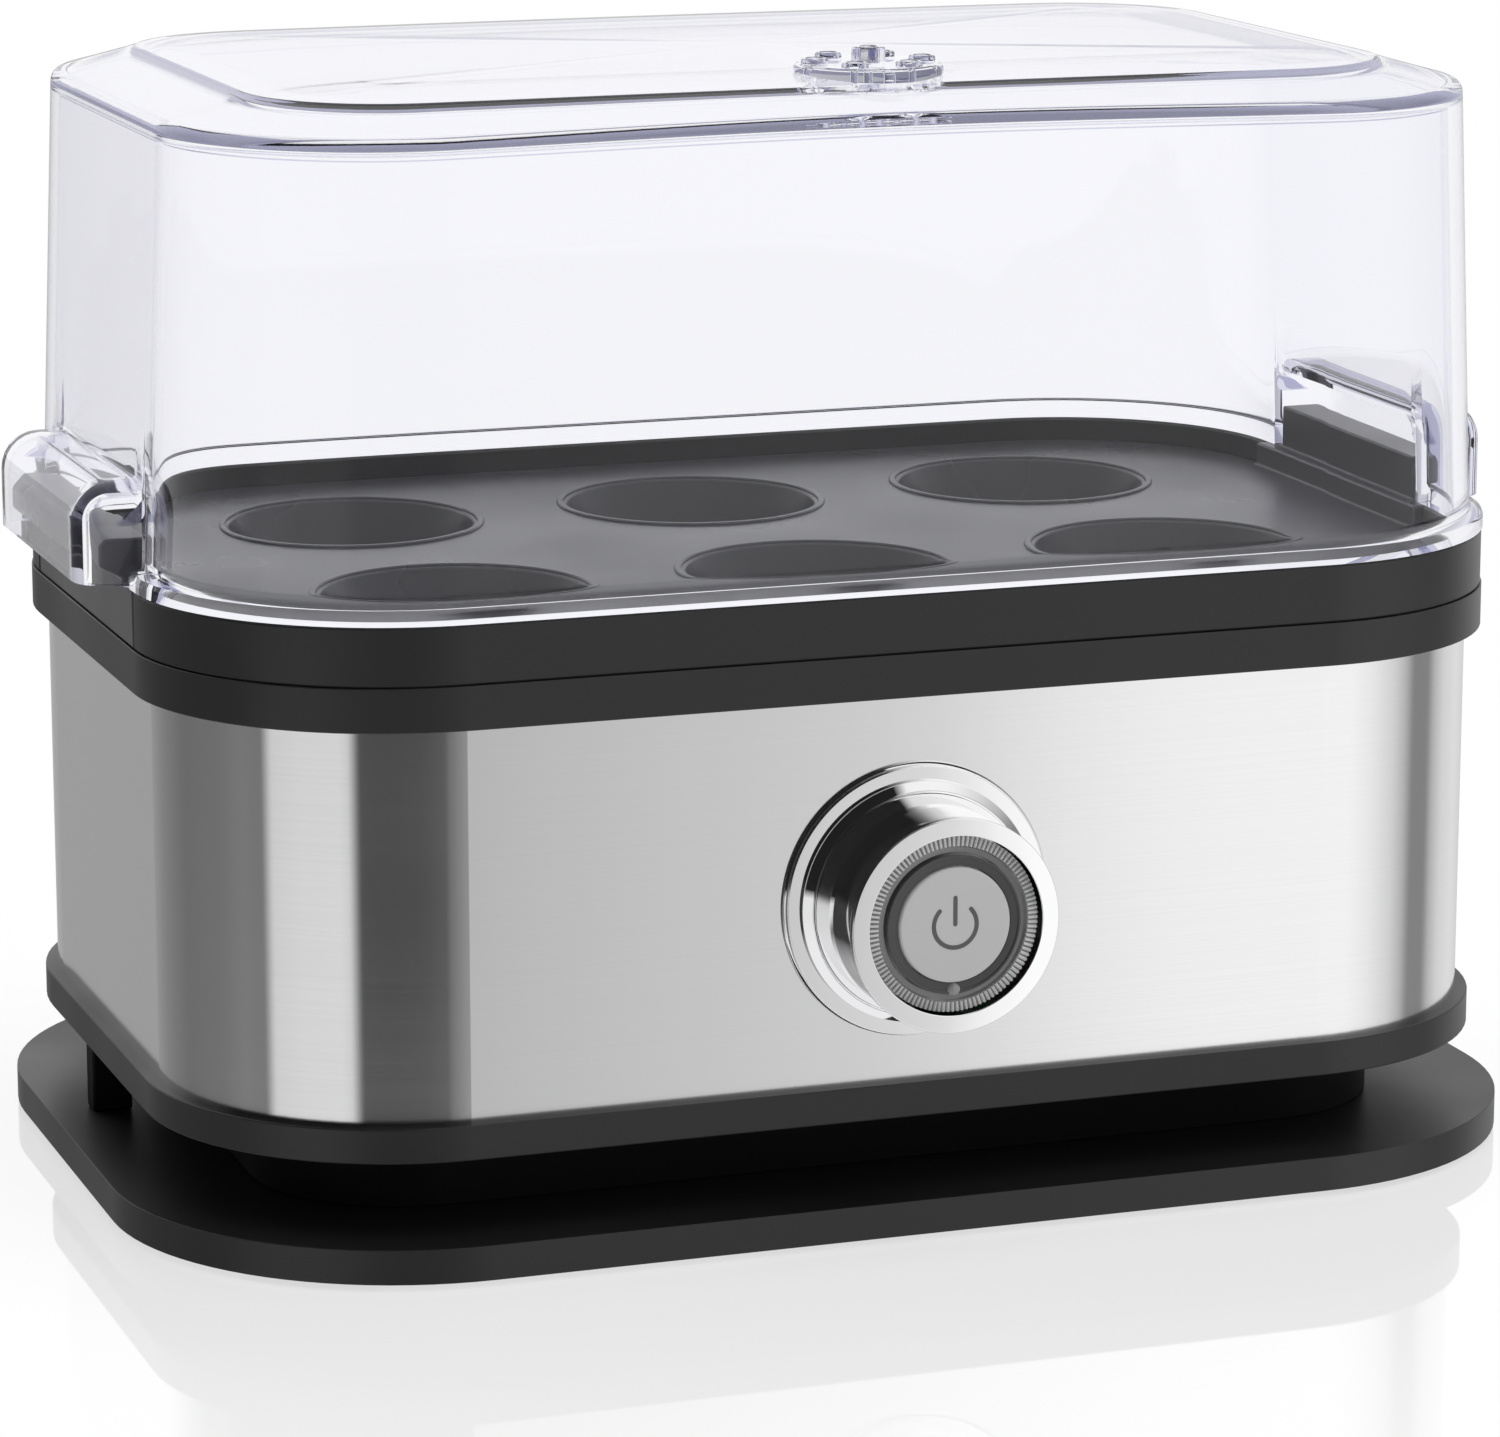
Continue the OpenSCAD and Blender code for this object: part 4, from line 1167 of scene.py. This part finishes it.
@dataclass(frozen=True)
class Knob:
    """The chrome knob with its ribbed light ring and the push button; lengths run out of the steel."""

    axis: Matrix
    length: float = 15.0
    flange_radius: float = 18.15
    flange_thick: float = 1.8
    tail: float = 6.95
    bore: float = 11.7
    barrel_radius: float = 13.5
    lip_radius: float = 14.0
    foot_radius: float = 15.9
    bezel_radius: float = 9.1
    button_radius: float = 7.5
    button_gap: float = 0.12
    button_front: float = 14.5
    ring_front: float = 13.6
    rib_from: float = 10.1
    rib_count: int = 112
    mark_radius: float = 2.9
    mark_width: float = 0.58
    mark_gap: float = 47.0
    mark_top: float = 3.58
    mark_bar: float = 3.43
    spring_radius: float = 3.8
    spring_wire: float = 0.35
    spring_turns: int = 5
    travel: float = 2.05

    @classmethod
    def from_frame(cls) -> "Knob":
        """Reads the knob's axis from the flange's CAD node."""
        low, high = node_box("knob_flange")
        middle = Vector(((low.x + high.x) / 2, high.y, (low.z + high.z) / 2))
        return cls(Matrix.Translation(middle) @ Matrix.Rotation(math.pi / 2, 4, "X"))

    def add_chrome(self) -> None:
        """Flange and barrel."""
        t, r = self.flange_thick, self.flange_radius
        inner = self.bore + 1.28
        step = self.foot_radius + 0.06
        flange = [(inner, 0, 0), (r, 0, 0), (r, 0.45, 0.1), (r - 0.3, 0.8, 0.08), (r - 0.32, 0.6, 0.04),
                  (r - 0.42, 0.6, 0.04), (r - 0.46, 1.18, 0.08), (step, 1.2, 0), (step, t, 0), (inner, t, 0)]
        settle(flattened(finished("flange", turned(rounded(flange), 192), Looks.CHROME, self.axis)),
               "base", "chrome_plate", "knob_flange")
        f, b, n = self.foot_radius, self.barrel_radius, self.length
        barrel = [(self.bore, -self.tail, 0), (self.bore + 1.2, -self.tail, 0.2), (self.bore + 1.2, t, 0),
                  (f, t, 0), (f - 1.1, t + 0.75, 0.3), (f - 1.15, t + 0.9, 0.05),
                  (f - 1.35, t + 0.92, 0.05), (f - 1.3, t + 1.07, 0.05), (f - 1.4, t + 1.2, 0.05),
                  (b + 0.15, t + 3.5, 1.2), (b, t + 4.6, 0.4), (b, n - 1.5, 0.2),
                  (self.lip_radius, n - 1.25, 0.12), (self.lip_radius, n - 0.04, 0.14), (self.bore, n, 0.1)]
        settle(flattened(finished("barrel", turned(rounded(barrel), 192), Looks.CHROME, self.axis)),
               "base", "chrome_plate", "knob_barrel").visible_glossy = False

    def add_light_ring(self) -> None:
        """Clear guide with fine ribs across its front."""
        back = self.axis.translation.y - node_box("light_ring")[1].y
        inner, outer, step = self.bezel_radius + 0.08, self.bore - 0.2, self.rib_from
        front = self.ring_front
        ring = rounded([(inner, back, 0), (outer, back, 0), (outer, front, 0.15), (step, front, 0.1),
                        (step - 0.15, front - 0.4, 0.1), (inner, front - 0.4, 0.1)])
        guide = flattened(finished("guide", turned(ring, 160), Looks.GUIDE, self.axis))
        settle(guide, "base", "clear_guide", "light_ring").visible_glossy = False
        rib = bmesh.new()
        half, depth, wide = (outer - step) / 2 - 0.06, 0.4, 0.2
        section = ((-wide, -0.1), (-wide * 0.75, depth * 0.7), (0, depth),
                   (wide * 0.75, depth * 0.7), (wide, -0.1))
        rows = [[rib.verts.new((side * half, y, z)) for y, z in section] for side in (-1, 1)]
        skin(rib, rows, closed=False)
        rib.faces.new(rows[0])
        rib.faces.new(rows[1])
        place = self.axis @ Matrix.Translation((0, 0, self.ring_front))
        settle(ring_of("guide_ribs", rib, Looks.RIB, place, self.rib_count, (step + outer) / 2),
               "base", "clear_guide").visible_glossy = False

    def add_button(self) -> None:
        """Dark ring, button and its power mark."""
        out, hole = self.bezel_radius, self.button_radius + self.button_gap
        front, back = self.length - 0.8, -2.0
        bezel = [(hole, 3.0, 0), (2.7, 3.0, 0), (2.7, 1.8, 0), (hole, 1.8, 0), (hole, back, 0), (out, back, 0),
                 (out, front, 0.12), (out - 0.3, front, 0.12), (out - 0.42, front - 0.22, 0.08),
                 (hole, front - 0.22, 0.15)]
        settle(flattened(finished("bezel", turned(rounded(bezel), 128), Looks.BEZEL, self.axis)),
               "base", "dark_grey_plastic", "button_bezel").visible_glossy = False
        lug = rounded([(0, -0.4, 0), (0.85, -0.4, 0), (0.85, 0.0, 0.1), (0.6, 0.3, 0.3), (0, 0.38, 0)])
        place = self.axis @ Matrix.Translation((0, -8.5, front - 0.1))
        settle(finished("lamp_lug", turned(lug, 32), Looks.GUIDE, place),
               "base", "clear_guide").visible_glossy = False
        stem = self.axis.translation.y - node_box("button_cap")[1].y
        r, n = self.button_radius, self.button_front
        cap = [(0, stem, 0), (2.3, stem, 0.2), (2.3, n - 3, 0), (r, n - 3, 0.2), (r, n, 0.3), (0, n, 0)]
        settle(flattened(finished("cap", turned(rounded(cap), 128), Looks.CAP, self.axis)),
               "button", "silver_cap", "button_cap").visible_glossy = False
        self.add_mark()

    def add_mark(self) -> None:
        """Power mark printed on the button: an open ring and a bar."""
        half = self.mark_width / 2
        mesh = bmesh.new()
        gap = math.radians(self.mark_gap)
        arc = [math.pi / 2 + gap + (2 * math.pi - 2 * gap) * i / 48 for i in range(49)]
        middle = [(self.mark_radius * math.cos(a), self.mark_radius * math.sin(a)) for a in arc]
        bar = [(0.0, self.mark_top - self.mark_bar * i / 6) for i in range(7)]
        for line in (middle, bar):
            self.ribbon(mesh, line, half, self.button_front - 0.02, self.button_front + 0.025)
        settle(finished("power_mark", mesh, Looks.MARK, self.axis), "button", "dark_grey_plastic")

    @staticmethod
    def ribbon(mesh: bmesh.types.BMesh, line: Sequence[Pair], half: float, low: float, high: float) -> None:
        """A flat stroke with round ends, as a closed solid.

        Args:
            mesh: The mesh that it is added to.
            line: Points along its middle.
            half: Half its width.
            low: Height of its underside.
            high: Height of its face.
        """
        count = len(line)
        ways = [(Vector(line[min(i + 1, count - 1)]) - Vector(line[max(i - 1, 0)])).normalized()
                for i in range(count)]
        left = [Vector(p) + half * Vector((-w.y, w.x)) for p, w in zip(line, ways)]
        right = [Vector(p) - half * Vector((-w.y, w.x)) for p, w in zip(line, ways)]
        caps = []
        for p, w in ((line[-1], ways[-1]), (line[0], -ways[0])):
            start = math.atan2(w.x, -w.y)
            turns = [start - math.pi * k / 8 for k in range(1, 8)]
            caps.append([Vector(p) + half * Vector((math.cos(turn), math.sin(turn))) for turn in turns])
        outline = left + caps[0] + right[::-1] + caps[1]
        below = [mesh.verts.new((p.x, p.y, low)) for p in outline]
        above = [mesh.verts.new((p.x, p.y, high)) for p in outline]
        skin(mesh, [below, above], closed=False)
        mesh.faces.new(below)
        mesh.faces.new(above)

    def add_spring(self) -> None:
        """Return spring, wound by a spiral whose wire follows it."""
        low, high = node_box("return_spring")
        near = self.axis.translation.y - high.y + self.spring_wire
        height = high.y - low.y - 2 * self.spring_wire
        tree = Tree("spring", {"Turns": ("NodeSocketFloat", float(self.spring_turns)),
                               "Coil radius": ("NodeSocketFloat", self.spring_radius),
                               "Wire radius": ("NodeSocketFloat", self.spring_wire),
                               "Height": ("NodeSocketFloat", height)})
        spiral = tree.node("GeometryNodeCurveSpiral", None, {
            "Resolution": 28, "Rotations": tree.size("Turns"), "Start Radius": tree.size("Coil radius"),
            "End Radius": tree.size("Coil radius"), "Height": tree.size("Height")})
        wire = tree.node("GeometryNodeCurvePrimitiveCircle", None,
                         {"Resolution": 10, "Radius": tree.size("Wire radius")})
        coil = tree.node("GeometryNodeCurveToMesh", None, {0: spiral, 1: wire, "Fill Caps": True})
        place = self.axis @ Matrix.Translation((0, 0, near))
        made = settle(tree.run("coil", coil, Looks.SPRING, place), "base", "spring_steel", "return_spring")
        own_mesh(made)

    def build(self) -> None:
        """Builds the knob."""
        self.add_chrome()
        self.add_light_ring()
        self.add_button()
        self.add_spring()
        settle(softened("knob_nut", 0.3, Looks.ZINC), "base", "zinc_plate", "knob_nut")


class Way(Enum):
    """Which way a screw's head faces."""

    DOWN = "down"
    REAR = "rear"


@dataclass(frozen=True)
class Screws:
    """One group of like self-tapping screws with plain pan heads."""

    node: str
    way: Way
    spots: tuple[tuple[float, float], ...]
    head_radius: float = 2.9
    head: float = 1.6
    shank: float = 1.5
    pitch: float = 1.0

    def model(self, length: float) -> bmesh.types.BMesh:
        """One screw, with its bearing face at 0, its head below and its thread above.

        Args:
            length: Length of the shank.

        Returns:
            The mesh.
        """
        r, h, s = self.head_radius, self.head, self.shank
        outline: list[Corner] = [(0, -h, 0), (r * 0.55, -h, 0.2), (r, -h * 0.45, 0.6),
                                 (r, 0, 0.1), (s, 0, 0)]
        z = 0.6
        while z + self.pitch < length - 0.8:
            outline += [(s - 0.3, z, 0), (s, z + self.pitch * 0.5, 0), (s - 0.3, z + self.pitch * 0.95, 0)]
            z += self.pitch
        outline += [(s - 0.3, length - 0.7, 0), (0.2, length, 0), (0, length, 0)]
        return turned(rounded(outline), 28)

    def build(self) -> None:
        """Builds the group in place of its CAD node."""
        low, high = node_box(self.node)
        if self.way is Way.DOWN:
            seat = low.z + self.head
            place, length = Matrix.Translation((0, 0, seat)), high.z - seat
        else:
            seat = high.y - self.head
            place = Matrix.Translation((0, seat, 0)) @ Matrix.Rotation(math.pi / 2, 4, "X")
            length = seat - low.y
        spots = [(x, y, 0.0) for x, y in self.spots]
        settle(copies_at(self.node + "_set", self.model(length), Looks.ZINC, place, spots),
               "base", "zinc_plate", self.node)


def corner_spots(node: str, inset: float, across: str) -> tuple[tuple[float, float], ...]:
    """Places of four screws at the corners of their node's box.

    Args:
        node: The CAD node that holds the four screws.
        inset: Radius of their heads.
        across: The second direction, Y or Z.

    Returns:
        Their places.
    """
    low, high = node_box(node)
    second = across.lower()
    a, b = getattr(low, second) + inset, getattr(high, second) - inset
    return tuple((x, v) for x in (low.x + inset, high.x - inset) for v in (a, b))


class Inside:
    """What the body hides: the dish, what heats it, the board, the wiring and the screws."""

    def dress_parts(self) -> None:
        """Finishes of the CAD nodes whose shape stays."""
        dress(Looks.DISH, "heating_plate")
        dress(Looks.SEAL, "plate_seal")
        dress(Looks.SHEATH, "heating_element")
        dress(Looks.CERAMIC, "element_terminals", "thermal_fuse", "terminal_block")
        dress(Looks.THERMOSTAT, "thermostat")
        dress(Looks.ZINC, "thermostat_bracket")
        dress(Looks.BRASS, "earth_stud")
        dress(Looks.BEZEL, "push_switch")
        dress(Looks.RED, "switch_plunger")
        dress(Looks.BOARD, "control_board")
        dress(Looks.PARTS, "board_components")
        dress(Looks.LAMP, "ring_leds")
        dress(Looks.GLAND, "cord_gland")
        dress(Looks.BROWN, "lead_live")
        dress(Looks.BLUE, "lead_neutral")
        dress(Looks.EARTH, "lead_earth")
        dress(Looks.HOT, "element_lead_front", "element_lead_rear")

    def build(self) -> None:
        """Dresses the parts and adds the screws."""
        self.dress_parts()
        for node in ("housing_screws", "plinth_screws", "rim_screws"):
            Screws(node, Way.DOWN, corner_spots(node, 2.9, "Y")).build()
        Screws("board_screws", Way.REAR, corner_spots("board_screws", 2.9, "Z")).build()


# ---- Studio ----


@dataclass(frozen=True)
class Studio:
    """Floor, light and camera."""

    eye: tuple[float, float, float] = (-0.25875, -0.73377, 0.22913)
    target: tuple[float, float, float] = (-0.00006, 0.00435, 0.05517)
    lens: float = 139.5
    sensor: float = 36.0
    floor_half: float = 4.0
    ambient: float = 0.62
    shadow: float = 0.16
    fade_from: float = 0.12
    fade_to: float = 0.3
    floor_index: float = 1.45
    floor_gloss: float = 1.1
    lamp_aim: tuple[float, float, float] = (0.0, 0.0, 0.05)

    def add_camera(self) -> None:
        """Camera at the chosen viewing angle."""
        data = bpy.data.cameras.new("camera")
        data.lens = self.lens
        data.sensor_width = self.sensor
        data.clip_start, data.clip_end = 0.05, 50.0
        made = bpy.data.objects.new("camera", data)
        made.location = self.eye
        aim = Vector(self.target) - Vector(self.eye)
        made.rotation_euler = aim.to_track_quat("-Z", "Y").to_euler()
        bpy.context.scene.collection.objects.link(made)
        bpy.context.scene.camera = made

    def add_floor(self) -> None:
        """White floor that keeps a soft shadow and a faint mirror image."""
        mesh = bmesh.new()
        s = self.floor_half
        mesh.faces.new([mesh.verts.new((x, y, 0)) for x, y in ((-s, -s), (s, -s), (s, s), (-s, s))])
        data = bpy.data.meshes.new("floor")
        mesh.to_mesh(data)
        mesh.free()
        made = bpy.data.materials.new("floor")
        made.use_nodes = True
        paint = Paint(made.node_tree)
        where = paint.place()
        away = (paint.axis(where, "X") ** 2.0 + paint.axis(where, "Y") ** 2.0) ** 0.5
        near = away.mapped(self.fade_from, self.fade_to, 1.0, 0.0)
        white = paint.node("ShaderNodeEmission", None, {0: (1.0, 1.0, 1.0), 1: 1.0})
        matt = paint.node("ShaderNodeBsdfDiffuse", None, {0: (0.94, 0.94, 0.95)})
        body = paint.node("ShaderNodeMixShader", None, {0: near * self.shadow, 1: white, 2: matt})
        sheen = paint.node("ShaderNodeBsdfAnisotropic", None, {0: (1.0, 1.0, 1.0), 1: 0.03})
        fresnel = paint.node("ShaderNodeFresnel", None, {0: self.floor_index})
        share = fresnel * self.floor_gloss * near
        glossy = paint.node("ShaderNodeMixShader", None, {0: share, 1: body, 2: sheen})
        plain = paint.node("ShaderNodeMixShader", None,
                           {0: self.ray(paint, "Is Diffuse Ray"), 1: glossy, 2: matt})
        gone = paint.node("ShaderNodeBsdfTransparent", None, {0: (1.0, 1.0, 1.0)})
        mirrored = self.ray(paint, "Is Glossy Ray") * (1.0 - self.ray(paint, "Is Transmission Ray"))
        paint.finish(paint.node("ShaderNodeMixShader", None, {0: mirrored, 1: plain, 2: gone}))
        data.materials.append(made)
        floor = bpy.data.objects.new("floor", data)
        bpy.context.scene.collection.objects.link(floor)

    @staticmethod
    def ray(paint: Paint, kind: str) -> Maths:
        """1 on rays of a kind, else 0."""
        return paint.node("ShaderNodeLightPath", output=kind)

    # Grey of the room round the cooker, by the compass: 0 is straight ahead of the front, in degrees,
    # with the left-hand side negative.
    ROOM: tuple[tuple[float, float], ...] = (
        (-180, 0.42), (-166, 0.36), (-158, 0.27), (-148, 0.22), (-130, 0.155), (-106, 0.165), (-92, 0.2),
        (-80, 0.18), (-75, 0.72), (-60, 0.78), (-42, 0.8), (-38, 0.72), (-33, 0.05), (-20, 0.042),
        (-4, 0.05), (6, 0.08), (14, 0.36), (17, 0.56), (20, 0.66), (21.5, 0.72), (23, 1.0), (26, 1.02),
        (40, 1.02), (52, 0.92), (66, 0.72), (74, 0.5), (80, 0.24), (92, 0.24), (98, 0.5), (108, 0.72),
        (125, 0.8), (180, 0.42))

    def add_world(self) -> None:
        """Even light on matt surfaces, and pale and dark screens that glossy ones show."""
        world = bpy.data.worlds.new("studio")
        bpy.context.scene.world = world
        world.use_nodes = True
        world.cycles.sampling_method = "NONE"
        paint = Paint(world.node_tree)
        way = paint.node("ShaderNodeTexCoord", output="Generated")
        x, y, z = (paint.axis(way, name) for name in "XYZ")
        compass = paint.node("ShaderNodeMath", {"operation": "ARCTAN2"}, {0: x, 1: y * -1.0})
        turn = compass.mapped(-math.pi, math.pi, 0.0, 1.0)
        half = len(self.ROOM) // 2
        stops = [((a + 180) / 360, (v, v, v)) for a, v in self.ROOM]
        left = paint.node("ShaderNodeValToRGB", {"stops": stops[:half + 1]}, {0: turn})
        right = paint.node("ShaderNodeValToRGB", {"stops": stops[half:]}, {0: turn})
        split = turn.above(stops[half][0])
        room = paint.blend(split, left, right)
        high = z.mapped(0.55, 0.8, 0.0, 1.0)
        room = paint.blend(high, room, (0.9, 0.9, 0.9))
        gloom = (turn.mapped(0.19, 0.22, 0.0, 1.0) * turn.mapped(0.525, 0.555, 1.0, 0.0)
                 * z.mapped(-0.12, -0.04, 0.0, 1.0))
        room = paint.blend(gloom, room, (0.014, 0.014, 0.0145))
        low = z.mapped(-0.55, -0.34, 1.0, 0.0)
        room = paint.blend(low, room, (0.86, 0.86, 0.87))
        behind = turn.mapped(0.06, 0.16, 1.0, 0.0).most(turn.mapped(0.84, 0.94, 0.0, 1.0)) * z.above(0.0)
        room = paint.blend(behind, room, (1.0, 1.0, 1.0))
        even = (self.ambient,) * 3
        room = paint.blend(self.ray(paint, "Is Diffuse Ray"), room, even)
        seen = self.ray(paint, "Is Camera Ray").most(self.ray(paint, "Is Transmission Ray"))
        room = paint.blend(seen, room, (1.0, 1.0, 1.0))
        sky = paint.node("ShaderNodeBackground", None, {0: room, 1: 1.0})
        paint.finish(sky, "ShaderNodeOutputWorld")

    def add_lamp(self, name: str, spot: Sequence[float], size: float, power: float) -> None:
        """A soft lamp that mirror-like surfaces don't show, aimed at the cooker.

        Args:
            name: Name of the lamp.
            spot: Its place, in metres.
            size: Length of its sides, in metres.
            power: Power in watts.
        """
        data = bpy.data.lights.new(name, "AREA")
        data.size = size
        data.energy = power
        made = bpy.data.objects.new(name, data)
        made.location = spot
        aim = Vector(self.lamp_aim) - Vector(spot)
        made.rotation_euler = aim.to_track_quat("-Z", "Y").to_euler()
        made.visible_glossy = False
        made.visible_camera = False
        made.visible_transmission = False
        bpy.context.scene.collection.objects.link(made)

    def build(self) -> None:
        """Sets up the studio."""
        scene = bpy.context.scene
        scene.view_settings.view_transform = "Standard"
        self.add_camera()
        self.add_floor()
        self.add_world()
        self.add_lamp("top", (0.3, -0.2, 1.4), size=1.2, power=13.0)
        self.add_lamp("front_right", (0.9, -1.1, 0.6), size=0.8, power=7.0)


def main() -> None:
    """Builds the studio and the cooker."""
    logging.basicConfig(level=logging.INFO, format="%(name)s: %(message)s")
    body = Body.from_frame()
    Studio().build()
    Base(body).build()
    Inside().build()
    Tray(body).build()
    Knob.from_frame().build()
    Lid.from_frame(body).build()


if __name__ == "__main__":
    main()
